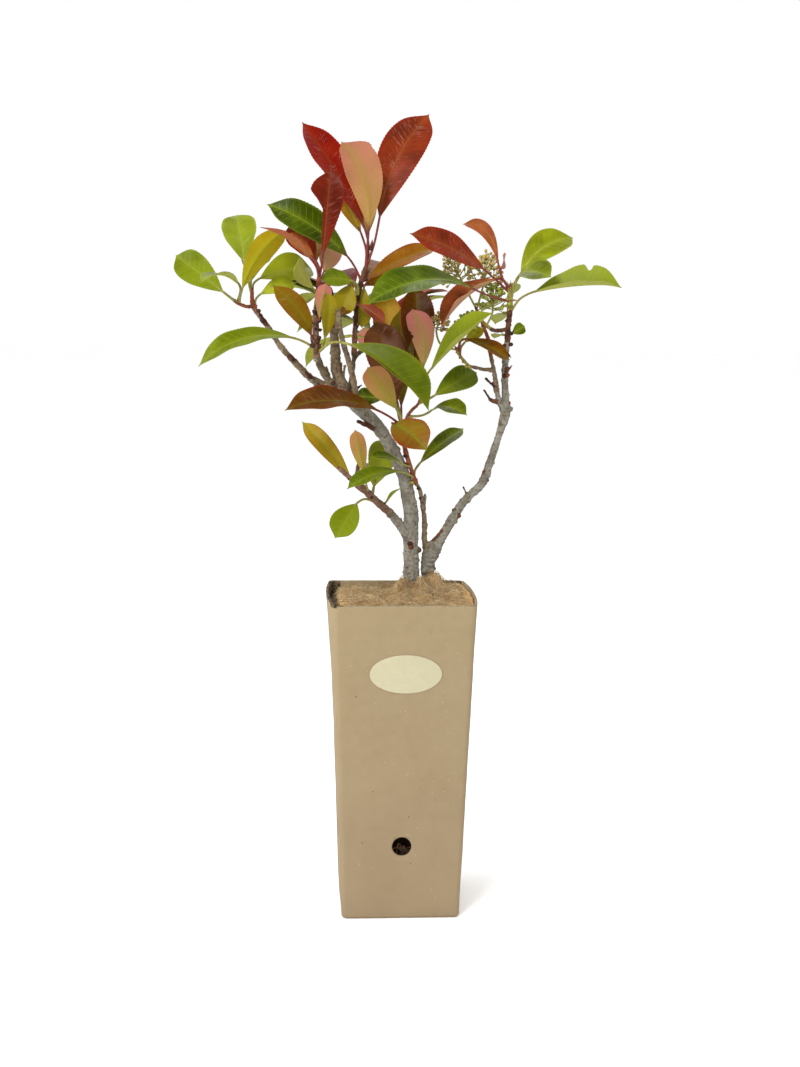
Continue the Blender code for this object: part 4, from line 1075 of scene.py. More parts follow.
def cardboard_material():
    """Recycled board: mottled pulp with sparse dark and pale flecks, pinker to the foot."""
    s = Surface("cardboard", 0.88, 0.25)
    board = s.blend(s.span(s.height(), 0.02, 0.3), *BOARD)
    board = s.tint(board, s.span(s.noise(9.0, 6.0), 0.3, 0.7), 0.35, BOARD_PULP)
    board = s.tint(board, s.span(s.noise(70.0, 2.0), 0.35, 0.65), 0.25, BOARD_CLOUD)
    board = s.tint(board, s.fade(s.cells(9.0), 0.05, 0.075), 0.5, BOARD_FLECKS[0])
    board = s.tint(board, s.fade(s.cells(15.0, (1.0, 1.0, 0.8)), 0.035, 0.055), 0.75, BOARD_FLECKS[1])
    s.finish(board, s.total(s.noise(1.6, 3.0), s.noise(14.0, 3.0)), 0.35, 0.25,
             s.span(s.noise(20.0), 0.3, 0.7, 0.82, 0.95))


def worn_board_materials():
    """The torn edge of the board, and a dark board: board with its face gone and damp soil in it, also used
    as painted shade.
    """
    s = Surface("torn_board", 0.95, 0.15)
    ply = s.span(s.noise(2.0, 5.0, (1, 1, 3)), 0.35, 0.65)
    s.finish(s.blend(ply, *TORN_BOARD), s.noise(0.8, 4.0), 0.6, 0.3)
    s = Surface("peeled_board", 0.95, 0.15)
    s.finish(s.blend(s.span(s.noise(2.6, 6.0), 0.4, 0.62), *PEELED_BOARD_AND_SHADE), s.noise(1.2, 5.0), 0.8, 0.6)


def paper_material():
    """Cream label paper with a faint fibre and a soft satin face."""
    s = Surface("label_paper", 0.55, 0.4)
    cream = s.blend(s.span(s.noise(3.0, 5.0, (1, 1, 2)), 0.3, 0.7), *PAPER)
    cream = s.tint(cream, s.span(s.noise(26.0, 2.0), 0.4, 0.65), 0.3, PAPER_CLOUD)
    s.finish(cream, s.noise(0.9, 3.0), 0.2, 0.1, s.span(s.noise(8.0), 0.3, 0.7, 0.48, 0.62))


def coir_material(name, light, dark):
    """Matted coir: short streaks of light and dark fibre."""
    s = Surface(name, 0.95, 0.15)
    mat = s.blend(s.span(s.noise(2.0, 6.0, (1.0, 0.4, 1.0)), 0.36, 0.64), dark, light)
    mat = s.tint(mat, s.span(s.noise(16.0, 3.0), 0.45, 0.7), 0.3, shade(dark, 0.86))
    s.finish(mat, s.noise(1.0, 5.0, (1.0, 2.6, 1.0)), 0.8, 0.8)


def fibre_material(name, colour):
    """A single fibre, darker in places."""
    s = Surface(name, 0.7, 0.3)
    hair = s.blend(s.span(s.noise(12.0, 3.0), 0.35, 0.65), colour, shade(colour, 0.78))
    s.finish(hair, s.noise(0.7, 2.0), 0.3, 0.1)


def skin_material(name, colour, roughness):
    """A thin green or red skin, as on stalks and buds."""
    s = Surface(name, roughness, 0.4)
    skin = s.blend(s.span(s.noise(4.0, 4.0), 0.35, 0.65), colour, shade(colour, 0.78))
    s.finish(skin, s.noise(0.8, 3.0), 0.25, 0.12)


def bark_material(name, pale, grey, brown):
    """Smooth young bark: patches, rusty spots and dark pores, with painted shade in the carved hollows and
    cracks and painted highlight on the ridges.
    """
    s = Surface(name, 0.86, 0.25)
    bark = s.blend(s.span(s.noise(11.0, 5.0), 0.4, 0.62), pale, grey)
    bark = s.tint(bark, s.span(s.noise(7.0, 6.0, (1.0, 1.0, 1.6)), 0.54, 0.68), 0.75, brown)
    bark = s.tint(bark, s.fade(s.cells(2.6, (1.0, 1.0, 1.5)), 0.1, 0.22), 0.18, shade(brown, 0.7))
    bark = s.tint(bark, s.span(s.noise(4.5, 4.0), 0.64, 0.72), 0.4, shade(brown, 0.6))
    # Darker where the carved relief is low and in its cracks, as painted shade, and paler where it stands
    # high, as painted highlight
    bark = s.tint(bark, s.fade(s.mark("bark_relief"), 0.02, 0.36), 0.66, shade(brown, 0.62))
    bark = s.tint(bark, s.span(s.mark("bark_relief"), 0.58, 0.85), 0.5, shade(pale, 1.12))
    rings = s.noise(1.3, 4.0, (0.5, 0.5, 2.4))
    s.finish(bark, s.total(rings, s.noise(3.2, 5.0)), 0.6, 0.5, s.span(s.noise(5.0), 0.3, 0.7, 0.76, 0.95))


def across_veins(s):
    """The distance across the lateral veins, which slant from the midrib."""
    return s.total(s.mark("leaf_along"), s.product(s.mark("leaf_out"), VEIN_SLANT), "SUBTRACT")


def leaf_veins(s):
    """Lateral veins as thin lines, from 0 between them to 1 on them, fading to the edge."""
    turns = s.product(across_veins(s), 2 * math.pi / VEIN_SPACING)
    turns = s.total(turns, s.product(s.noise(14.0, 2.0), 1.6))
    line = s.span(s.total(turns, 0.0, "COSINE"), 0.9, 1.0)
    return s.product(line, s.fade(s.mark("leaf_share"), 0.55, 0.95))


def leaf_highlight_streaks(s):
    """Painted highlight: pale streaks that run with the lateral veins, in patches, from 0 to 1."""
    place = s.node("CombineXYZ", X=s.product(across_veins(s), 1 / HIGHLIGHT_STREAK_SIZE[0]),
                   Y=s.product(s.mark("leaf_out"), 1 / HIGHLIGHT_STREAK_SIZE[1]),
                   Z=s.product(s.mark("leaf_tone"), 37.0))
    grain = s.node("TexNoise", Scale=1.0, Detail=2.0, Vector=place.outputs["Vector"])
    streaks = s.product(s.span(grain.outputs["Fac"], 0.55, 0.72), s.span(s.noise(19.0, 2.0), 0.46, 0.62))
    return s.product(streaks, s.fade(s.mark("leaf_share"), 0.75, 0.95))


def leaf_top_material(kind, top, glow, edge):
    """A glossy upper side: mottled, paler on its veins and near its rib, with an edge of its own colour and
    streaks of painted highlight.
    """
    s = Surface(f"{kind}_top", 0.3, 0.05)
    veins = leaf_veins(s)
    tone = s.total(s.product(s.mark("leaf_tone"), 0.7), s.product(s.noise(24.0, 4.0), 1.3))
    blade = s.blend(s.span(tone, 0.45, 1.25), shade(top, 0.72), shade(top, 1.18))
    blade = s.tint(blade, s.span(tone, 0.85, 1.4), 0.4, glow)
    blade = s.tint(blade, s.fade(s.mark("leaf_run"), 0.0, 0.4), 0.3, glow)
    blade = s.tint(blade, s.fade(s.mark("leaf_out"), 0.5, 4.5), 0.3, glow)
    blade = s.tint(blade, veins, 0.26 if kind in HIGHLIGHT_STREAKS else 0.36, glow)
    blade = s.tint(blade, s.span(s.mark("leaf_share"), 0.82, 1.0), 0.6, edge)
    # Pale streaks of painted highlight, in place of the waxy gloss
    highlight = HIGHLIGHT_RED if kind in HIGHLIGHT_STREAKS else HIGHLIGHT_GREEN
    blade = s.tint(blade, leaf_highlight_streaks(s), HIGHLIGHT_STREAKS.get(kind, HIGHLIGHT_STREAK_USUAL), highlight)
    height = s.total(s.total(s.noise(1.2, 3.0), s.noise(5.0, 3.0)), s.product(veins, -0.8))
    height = s.total(height, s.product(s.span(s.cells(0.9), 0.1, 0.5), 0.1))
    s.finish(blade, height, 0.14, 0.2, s.span(s.noise(9.0), 0.3, 0.7, 0.28, 0.42))


def leaf_under_material(kind, under, glow):
    """A dull underside with a net of small veins, its own rib colour spread from the stalk."""
    s = Surface(f"{kind}_under", 0.62, 0.05)
    veins = leaf_veins(s)
    tone = s.total(s.mark("leaf_tone"), s.product(s.noise(16.0, 4.0), 0.9))
    blade = s.blend(s.span(tone, 0.2, 0.85), shade(under, 0.92), shade(under, 1.05))
    blade = s.tint(blade, s.fade(s.mark("leaf_share"), 0.0, 0.5), 0.6, glow)
    blade = s.tint(blade, s.fade(s.mark("leaf_run"), 0.0, 0.8), 0.9, glow)
    blade = s.tint(blade, veins, 0.3, shade(glow, 1.12))
    blade = s.tint(blade, s.span(s.cells(1.6), 0.05, 0.45), 0.14, shade(under, 0.8))
    s.finish(blade, s.total(s.total(s.noise(1.1, 3.0), s.cells(1.6)), veins), 0.14, 0.2)


def leaf_materials(kind):
    """The upper side, rib and underside of a kind of leaf."""
    top, glow, edge, under, under_glow, _ = LEAF_KINDS[kind]
    leaf_top_material(kind, top, glow, edge)
    s = Surface(f"{kind}_rib", 0.5, 0.15)
    s.finish(s.blend(s.span(s.noise(6.0), 0.35, 0.65), glow, shade(glow, 0.86)), s.noise(1.0), 0.2, 0.1)
    leaf_under_material(kind, under, under_glow)


def make_materials():
    """All materials, each under its own name."""
    cardboard_material()
    worn_board_materials()
    paper_material()
    for name, colours in COIRS.items():
        coir_material(name, *colours)
    for name, colour in FIBRES.items():
        fibre_material(name, colour)
    for name, colours in BARK_COLOURS.items():
        bark_material(name, *colours)
    for name, skin in SKINS.items():
        skin_material(name, *skin)
    for kind in LEAF_KINDS:
        leaf_materials(kind)


# Pot, label and root ball

def square_ring(half, corner, height, bulge=0.0):
    """A level square ring with round corners, its left and right sides bowed out by the bulge."""
    points = []
    for quarter in range(4):
        start = math.pi / 2 * quarter
        for step in range(CORNER_STEPS + 1):
            angle = math.pi / 2 * step / CORNER_STEPS
            spot = (half - corner + corner * math.cos(angle), half - corner + corner * math.sin(angle))
            points.append(spin(spot, start))
        for step in range(1, SIDE_STEPS):
            run = (half - corner) * (1 - 2 * step / SIDE_STEPS)
            points.append(spin((run, half), start))
    return [(x + side_bow(x, y, half, bulge), y, height) for x, y in points]


def side_bow(x, y, half, bulge):
    """How far a side wall leans out at this point of the ring."""
    if abs(x) < 0.9 * half:
        return 0.0
    return math.copysign(bulge * (1 - (y / half) ** 2), x)


def pot_half(height):
    """Half the pot's outer width at a height."""
    return POT_FOOT_HALF + (POT_TOP_HALF - POT_FOOT_HALF) * height / POT_HEIGHT


def pot_ring(height, inset=0.0):
    """The pot's outline at a height, drawn in by an inset."""
    corner = max(POT_CORNER - inset / 2, POT_INNER_CORNER)
    bulge = POT_SIDE_BULGE * (height / POT_HEIGHT) ** 3
    return square_ring(pot_half(height) - inset, corner, height, bulge)


def build_pot():
    """The tapered board box, its walls a little uneven, with a vent hole through each."""
    rounding = POT_FOOT_ROUNDING
    outside = [pot_ring(rounding * (1 - math.cos(a)), rounding * (1 - math.sin(a)))
               for a in np.linspace(0, math.pi / 2, FOOT_STEPS)]
    levels = list(np.arange(rounding + POT_LEVEL_STEP, POT_HEIGHT - 3, POT_LEVEL_STEP))
    outside += [pot_ring(height) for height in (*levels, *POT_UPPER_LEVELS)]
    rim = [pot_ring(POT_HEIGHT + rise, inset) for rise, inset in POT_RIM]
    inside_levels = (*reversed(POT_UPPER_LEVELS), *reversed(levels[::2]), POT_FLOOR)
    rings = np.array(outside + rim + [pot_ring(height, POT_WALL) for height in inside_levels])
    rows, columns = rings.shape[:2]
    rim_rows = range(len(outside) - 1, len(outside) + len(rim))
    worn = [
        board_kind(rings[row, column], row, rim_rows)
        for row in range(rows - 1) for column in range(columns)
    ]
    faces = closed_faces(rows, columns)
    walls = uneven_walls(rings.reshape(-1, 3))
    pot = one_piece("pot_box", walls, faces, worn + ["cardboard"] * 2, sharp=50)
    for cutter in (vent_bar(0.0), vent_bar(math.pi / 2)):
        cut_away(pot, cutter)
    dress(pot, "cardboard", "pot")


def board_kind(point, row, rim_rows):
    """The look of the board at a place: its rim is torn, its left side peeled near the rim, and painted
    shade on the inside of its left wall below the rim.
    """
    x, y, z = point
    high, size = PEEL_WAVE
    ragged = high * noise.noise(Vector(point) / size)
    depth = POT_HEIGHT + ragged - z
    if row in rim_rows:
        peeled = x < PEELED_RIM[0] and ragged > PEELED_RIM[1]
        return "peeled_board" if peeled else "torn_board"
    if row < rim_rows[0]:
        peeled = x < PEELED_OUTSIDE[0] and depth < PEELED_OUTSIDE[1]
        return "peeled_board" if peeled else "cardboard"
    # Painted shade on the inside of the left wall below the rim
    left = x < SHADED_INSIDE[0] + ragged / 2 and depth < SHADED_INSIDE[1]
    corner = (x > PEELED_CORNER[0] and y > PEELED_CORNER[1] and depth - ragged / 2 < PEELED_CORNER[2])
    return "peeled_board" if left or corner else "cardboard"


def uneven_walls(points):
    """Walls and rim moved by a few tenths of a millimetre, as board that has been damp."""
    moved = []
    for x, y, z in points:
        out = Vector((x, y, 0)).normalized()
        sway = waves(Vector((x, y, z)), WALL_WAVES)
        rim = max(0.0, (z - POT_HEIGHT + RIM_DEPTH) / RIM_DEPTH)
        high, size = RIM_WAVE
        lift = rim * (high * noise.noise(Vector((x, y, 0)) / size + Vector((5, 5, 5))) - RIM_DROP)
        moved.append((x + out.x * sway, y + out.y * sway, z + lift))
    return moved


def vent_bar(angle):
    """A level round bar right across the pot."""
    rings = []
    for reach in (-VENT_REACH, VENT_REACH):
        for i in range(VENT_SIDES):
            around = 2 * math.pi * i / VENT_SIDES
            x, y = spin((VENT_DIAMETER / 2 * math.cos(around), reach), angle)
            rings.append((x, y, VENT_HEIGHT + VENT_DIAMETER / 2 * math.sin(around)))
    faces = [tuple(reversed(face)) for face in closed_faces(2, VENT_SIDES)]
    return one_piece("vent_bar", rings, faces, "peeled_board")


def build_label():
    """A thin oval of paper on the leaning front wall, with a softly rounded edge."""
    lean = math.atan2(POT_TOP_HALF - POT_FOOT_HALF, POT_HEIGHT)
    up = np.array((0, -math.sin(lean), math.cos(lean)))
    out = np.array((0, -math.cos(lean), -math.sin(lean)))
    centre = np.array((LABEL_CENTRE_X, -pot_half(LABEL_CENTRE_HEIGHT), LABEL_CENTRE_HEIGHT))
    rings = []
    for share, depth in LABEL_RINGS:
        for i in range(LABEL_SIDES):
            around = 2 * math.pi * i / LABEL_SIDES
            spot = (centre + np.array((share * LABEL_WIDTH / 2 * math.cos(around), 0, 0))
                    + up * (share * LABEL_HEIGHT / 2 * math.sin(around)))
            ripple = waves(Vector(spot), (LABEL_WAVE,)) * depth
            rings.append(spot + out * (LABEL_GAP + LABEL_THICKNESS * depth + ripple))
    faces = closed_faces(len(LABEL_RINGS), LABEL_SIDES)
    dress(one_piece("label_oval", rings, faces, "label_paper", sharp=60), "label_paper", "label")


def mat_height(x, y):
    """The mat's height: a folded sheet in front, low behind, where it is painted dark as shade, mounded
    round the stems.
    """
    pad_x, pad_y = SOIL_PAD_CENTRE
    mound = math.exp(-(((x - pad_x) / MOUND_WIDTH) ** 2 + ((y - pad_y + 2) / MOUND_WIDTH) ** 2))
    back = BACK_DROP * (smooth_step((y - 8) / 22) * smooth_step((14 - x) / 20)) * (1 - mound)
    tufts = sum(
        high * math.exp(-((x - u) ** 2 + (y - v) ** 2) / wide ** 2)
        for u, v, wide, high in MAT_TUFTS
    )
    bundle = BUNDLE_HEIGHT * math.exp(-(((x - 48) / 13) ** 2 + ((y + 8) / 24) ** 2))
    fold = math.exp(-((y + 26 + 4 * math.sin(x / 14)) / 2.6) ** 2)
    crease = CREASE_DEPTH * fold * smooth_step((8 - x) / 12)
    spot = Vector((x, y, 0))
    side_gap = SIDE_GAP_DEPTH * smooth_step((-57 + 3 * noise.noise(spot / 5) - x) / 4)
    height = MAT_EDGE + (SOIL_TOP - MAT_EDGE) * mound - back + bundle - crease
    return height + waves(spot, MAT_WAVES) + tufts - side_gap


def build_mat():
    """The coir on top of the root ball as a closed thick mat."""
    half = pot_half(SOIL_EDGE_HEIGHT) - POT_WALL - SOIL_CLEARANCE
    spots = np.linspace(-half, half, MAT_CELLS)
    top, below = [], []
    for y in spots:
        for x in spots:
            wide = x * (1 + (POT_SIDE_BULGE - GAP) / half * (1 - (y / half) ** 2))
            top.append((wide, y, mat_height(wide, y)))
            below.append((wide, y, MAT_BOTTOM))
    faces = grid_faces(MAT_CELLS, MAT_CELLS)
    worn = [mat_colour(top[face[0]]) for face in faces]
    size = MAT_CELLS * MAT_CELLS
    faces += [tuple(index + size for index in reversed(face)) for face in faces]
    loop = border_loop(MAT_CELLS, MAT_CELLS)
    faces += [(a, a + size, b + size, b) for a, b in zip(loop, loop[1:] + loop[:1])]
    worn += ["coir_dark"] * (len(faces) - len(worn))
    dress(one_piece("coir_mat", top + below, faces, worn), "coir", "root_ball")


def mat_colour(point):
    """Painted shade at its left side by the wall and where the mat lies low, light elsewhere."""
    ragged = 2.5 * noise.noise(Vector(point) / 5)
    if point[0] + ragged < SHADED_LEFT_SIDE:
        return "peeled_board"
    return "coir_dark" if point[2] + ragged < SHADED_MAT_HEIGHT else "coir_light"


def build_soil():
    """The damp root ball below the mat, hollowed behind each vent."""
    rings = []
    for height in SOIL_LEVELS:
        for x, y, z in pot_ring(height, POT_WALL + SOIL_CLEARANCE):
            out = Vector((x, y, 0)).normalized()
            rough = SOIL_ROUGHNESS + SOIL_ROUGHNESS * noise.noise(Vector((x, y, z)) / 4)
            depth = hollow(x, y, z) + rough
            rings.append((x - out.x * depth, y - out.y * depth, z))
    faces = closed_faces(len(SOIL_LEVELS), len(rings) // len(SOIL_LEVELS))
    dress(one_piece("soil", rings, faces, "damp_soil"), "coir", "root_ball")


def hollow(x, y, z):
    """How far the soil stands back behind the nearest vent."""
    away = math.hypot(min(abs(x), abs(y)), z - VENT_HEIGHT)
    return HOLLOW_DEPTH * math.exp(-(away / HOLLOW_REACH) ** 4)


def fibre_line(rng, x, y, heading, length, rise):
    """A curling line over the mat, risen in its middle."""
    points = [(x, y)]
    limit = pot_half(SOIL_EDGE_HEIGHT) - 4.5
    bend = rng.uniform(-0.16, 0.16)
    for _ in range(int(length / FIBRE_STEP)):
        bend += rng.uniform(-0.09, 0.09)
        bend = max(-0.5, min(0.5, bend))
        heading += bend
        x, y = x + FIBRE_STEP * math.cos(heading), y + FIBRE_STEP * math.sin(heading)
        if abs(x) > limit + 2 or abs(y) > limit:
            break
        points.append((x, y))
    count = len(points)
    return [(x, y, mat_height(x, y) + 0.2 + rise * math.sin(math.pi * (i + 0.5) / count))
            for i, (x, y) in enumerate(points)]


def build_fibres():
    """Loose curly fibres over the mat, paler in front, and darker in the low back as painted shade."""
    rng = random.Random(SEED)
    batches = [Batch(), Batch()]
    half = pot_half(SOIL_EDGE_HEIGHT) - 7
    for number in range(FIBRE_COUNT):
        near_stems = rng.random() < FIBRES_NEAR_STEMS
        if near_stems:
            x = rng.gauss(SOIL_PAD_CENTRE[0], 13)
            y = rng.gauss(SOIL_PAD_CENTRE[1] - 6, 14)
        else:
            x, y = rng.uniform(-half, half), rng.uniform(-half, half)
        x, y = max(-half, min(half, x)), max(-half, min(half, y))
        if x < BARE_SIDE and rng.random() < 0.7:
            continue
        tall = rng.random() < (FIBRES_UP_NEAR_STEMS if near_stems else FIBRES_UP)
        rise = rng.uniform(*(FIBRE_RISES if tall else FIBRE_LIES))
        line = fibre_line(rng, x, y, rng.uniform(0, 2 * math.pi), rng.uniform(*FIBRE_LENGTHS), rise)
        if len(line) < FEWEST_FIBRE_POINTS:
            continue
        radius = rng.uniform(*FIBRE_RADII)
        vertices, faces = tube(np.array(line), np.full(len(line), radius), 3, round_end=False)
        batches[number % 2].add(vertices, faces, rng.choice(FIBRE_LOOKS[mat_place(x, y)]))
    for batch, name in zip(batches, ("coir_fibres_a", "coir_fibres_b")):
        dress(batch.build(name), "coir", "root_ball")


def mat_place(x, y):
    """Whether a place on the mat is low, near the stems or in the open."""
    if mat_height(x, y) < SHADED_MAT_HEIGHT:
        return "low"
    near = math.hypot(x - SOIL_PAD_CENTRE[0], y - SOIL_PAD_CENTRE[1]) < NEAR_STEMS
    return "near" if near else "open"


def build_vent_roots():
    """A clump of root and coir low in each vent hole."""
    rng = random.Random(SEED + 1)
    batch = Batch()
    reach = pot_half(VENT_HEIGHT) - POT_WALL - 4.0
    for quarter in range(4):
        for _ in range(VENT_ROOTS):
            middle, low = rng.gauss(2, 4), rng.uniform(-10, -2)
            bend, half = rng.uniform(-3, 3), rng.uniform(2, 5)
            heading = rng.uniform(0, math.pi)
            depth = reach - rng.uniform(0, 1.5)
            points = []
            for u in np.linspace(-1, 1, VENT_ROOT_POINTS):
                across = middle + u * half * math.cos(heading) - bend * u * u * math.sin(heading)
                height = VENT_HEIGHT + low + u * half * math.sin(heading) + bend * u * u * math.cos(heading)
                x, y = spin((across, -(depth - 2 * (1 - u * u))), quarter * math.pi / 2)
                points.append((x, y, height))
            radii = np.full(VENT_ROOT_POINTS, rng.uniform(0.3, 0.8))
            batch.add(*tube(np.array(points), radii, 6, round_end=False), rng.choice(VENT_ROOT_LOOKS))
    dress(batch.build("vent_roots"), "coir", "root_ball")


# Limbs

def limb_points(name):
    """A limb's centre line."""
    return [Vector(point) for point in LIMBS[name][0]]


def ring_scars(line, radii, rng, depth):
    """Radii that swell a little at the ring scars left by each year's and each leaf's bud."""
    place = distances(line)
    swollen = radii.copy()
    spot = rng.uniform(2, 6)
    while spot < place[-1]:
        swell = depth * rng.uniform(0.3, 1.0)
        swollen *= 1 + swell * np.exp(-((place - spot) / rng.uniform(0.8, 1.7)) ** 2)
        spot += rng.uniform(*SCAR_SPACING)
    return swollen


def side_bumps(line, radii, rng, spacing):
    """Old bud and leaf scars as low bumps, turned by the golden angle along a limb."""
    run, across, other = frames_along(line)
    place = distances(line)
    bumps = []
    spot, turn = rng.uniform(4, 10), rng.uniform(0, 360)
    while spot < place[-1] - 2:
        i = int(np.searchsorted(place, spot))
        angle = math.radians(turn)
        out = math.cos(angle) * across[i] + math.sin(angle) * other[i]
        size = min(radii[i] * rng.uniform(0.3, 0.46), LARGEST_BUMP)
        centre = line[i] + out * radii[i] * 0.9
        bumps.append(ball(centre, run[i] * 0.5 + out, size * 1.15, size * rng.uniform(0.8, 1.2), 10, 7))
        spot += rng.uniform(*spacing)
        turn += GOLDEN_ANGLE
    return bumps


def limb_shape(name):
    """A limb's closed mesh, flared where it leaves its parent, with ring scars and bumps."""
    rng = random.Random(SEED + 31 * list(LIMBS).index(name))
    line, radii = curve_through(*LIMBS[name], LIMB_STEP)
    if name in STEMS:
        line = np.vstack([line[0] - (0, 0, 9), line[0] - (0, 0, 4), line])
        radii = np.concatenate([[radii[0] * 1.25, radii[0] * 1.15], radii])
    else:
        radii = radii * (1 + FLARE * np.exp(-(distances(line) / FLARE_LENGTH) ** 2))
    radii = ring_scars(line, radii, rng, SCAR_DEPTHS.get(name, USUAL_SCAR_DEPTH))
    spacing = BUMP_SPACINGS.get(name, USUAL_BUMP_SPACING)
    return [tube(line, radii, LIMB_SIDES), *side_bumps(line, radii, rng, spacing)]


def stub_shape(foot, tip, radius):
    """A short dead stub or spur from one point to another."""
    return tube(*curve_through([foot, tip], [radius, radius * 0.75], 1.0), 14)


def build_bark():
    """All limbs, stubs and knots fused into one skin, then given the bark's relief."""
    batch = Batch()
    for name in LIMBS:
        for vertices, faces in limb_shape(name):
            batch.add(vertices, faces, "bark")
    for foot, tip, radius, _ in STUBS:
        batch.add(*stub_shape(foot, tip, radius), "bark")
    for centre, radius, _ in KNOTS:
        batch.add(*ball(centre, (0, 0, 1), radius, radius * 0.8, 14, 9), "bark")
    bark = batch.build("bark_limbs")
    remesh = bark.modifiers.new("skin", "REMESH")
    remesh.mode = "VOXEL"
    remesh.voxel_size = BARK_VOXEL * MM
    remesh.use_smooth_shade = True
    smooth = bark.modifiers.new("soften", "SMOOTH")
    smooth.factor = 0.5
    smooth.iterations = 3
    apply_modifiers(bark)
    carve_bark(bark.data)
    paint_bark(bark.data)
    dress(bark, "bark", *LIMBS)


def paint_bark(mesh):
    """Gives each face the bark of the limb, knot or stub that it lies on."""
    mesh.materials.clear()
    for bark in BARKS:
        mesh.materials.append(MATERIALS[bark])
    centres = np.empty(len(mesh.polygons) * 3, np.float32)
    mesh.polygons.foreach_get("center", centres)
    centres = centres.reshape(-1, 3) / MM
    slots = limb_slots(centres)
    for foot, tip, radius, bark in STUBS:
        foot, run = np.array(foot, float), np.array(tip, float) - foot
        share = np.clip((centres - foot) @ run / (run @ run), 0, 1.2)
        away = np.linalg.norm(centres - foot - share[:, None] * run, axis=1)
        slots[(away < radius * 1.5) & (share > 0.1)] = BARKS.index(bark)
    for centre, radius, bark in KNOTS:
        away = np.linalg.norm(centres - centre, axis=1)
        slots[away < radius * 1.15] = BARKS.index(bark)
    mesh.polygons.foreach_set("material_index", slots)


def limb_slots(centres):
    """For each place, the number of the bark of the nearest limb, with ragged borders."""
    tree = kdtree.KDTree(4000)
    owners = []
    for name, (points, radii) in LIMBS.items():
        bark, start = LIMB_BARKS.get(name, ("bark", 0.0))
        line = curve_through(points, radii, 2.0)[0]
        for i, spot in enumerate(line):
            tree.insert(Vector(spot), len(owners))
            owners.append(BARKS.index(bark if i >= start * len(line) else "bark"))
    tree.balance()
    slots = np.empty(len(centres), np.int32)
    for i, centre in enumerate(centres):
        spot = Vector(centre.tolist())
        ragged = Vector((noise.noise(spot / 3), noise.noise(spot / 3 + Vector((9, 0, 0))), 0)) * 4
        slots[i] = owners[tree.find(spot + ragged)[1]]
    return slots


def carve_bark(mesh):
    """Moves the skin by the bark's lumps, rings and cracks, and keeps how high each place is, which the
    bark's material turns into painted shade and highlight.
    """
    count = len(mesh.vertices)
    places, outward = np.empty(count * 3, np.float32), np.empty(count * 3, np.float32)
    mesh.vertices.foreach_get("co", places)
    mesh.vertex_normals.foreach_get("vector", outward)
    places, outward = places.reshape(-1, 3), outward.reshape(-1, 3)
    relief = np.empty(count, np.float32)
    for i in range(count):
        spot = Vector(places[i].tolist()) / MM
        ring = 0.3 * noise.noise(Vector((spot.x / 7.0, spot.y / 7.0, spot.z / 1.1)))
        seam = abs(noise.noise(spot / BARK_CRACK_SIZE + Vector((31, 0, 0))))
        crack = min(seam / BARK_CRACK_WIDTH, 1.0) - 1.0
        places[i] += outward[i] * ((waves(spot, BARK_LUMPS) + ring + 0.4 * crack) * MM)
        relief[i] = 0.5 + 0.5 * noise.noise(spot / 2.4) + ring + 0.3 * crack
    mesh.vertices.foreach_set("co", places.ravel())
    set_mark(mesh, "bark_relief", np.clip(relief, 0.0, 1.0))
    mesh.update()


# Leaves

def outline(t):
    """Half-width of a blade at t along it, as a share of its greatest half-width."""
    rise, fall = WIDEST_AT * TAPER, (1 - WIDEST_AT) * TAPER
    peak = WIDEST_AT ** rise * (1 - WIDEST_AT) ** fall
    return t ** rise * (1 - t) ** fall / peak


def pointed_outline(t):
    """The outline with its tip drawn out to a point."""
    return outline(t) * (1 - np.clip((t - TIP_START) / (1 - TIP_START), 0, 1) ** TIP_SHARPNESS)


def leaf_on(twig, row):
    """A leaf's root on its twig, and its blade's foot, chord, upper-side normal, crossways and bow."""
    place, stalk, blade, face, shape = row[:5]
    root = along(twig, place)
    foot = root + direction(*stalk[:2]) * stalk[2]
    chord = direction(*blade[:2]) * blade[2]
    line = chord.normalized()
    normal = Vector(face)
    normal = (normal - line * normal.dot(line)).normalized()
    across = normal.cross(line)
    bow = (normal * shape[1] + across * shape[2]) * chord.length
    return root, foot, chord, normal, across, bow


def spine(foot, chord, bow, t):
    """A point of the blade's midrib."""
    return foot + chord * t + bow * (4 * t * (1 - t))


def blade_places(length):
    """Places along a blade, from 0 to 1, closer together at its ends."""
    even = np.linspace(0, 1, max(FEWEST_STATIONS, int(length / LEAF_STATION_STEP)))
    return 0.002 + 0.996 * (0.6 * even + 0.4 * (0.5 - 0.5 * np.cos(np.pi * even)))


def blade_widths(t, width, edges):
    """Along a blade, the widths of its minus and plus halves, toothed, and that of its rib."""
    toothed = (t > TOOTHED[0]) * (t < TOOTHED[1])
    teeth = 1 + TOOTH * np.where(np.arange(len(t)) % 2, 1, -1) * toothed
    half = np.maximum(width / 2 * pointed_outline(t), NARROWEST_HALF) * teeth
    rib = np.minimum(RIB_HALF * (1 - 0.7 * t), half * 0.2)
    if edges is None:
        return half, half, rib
    minus, plus = (half * np.interp(t, *np.array(profile, float).T) for profile in edges)
    return minus, plus, rib


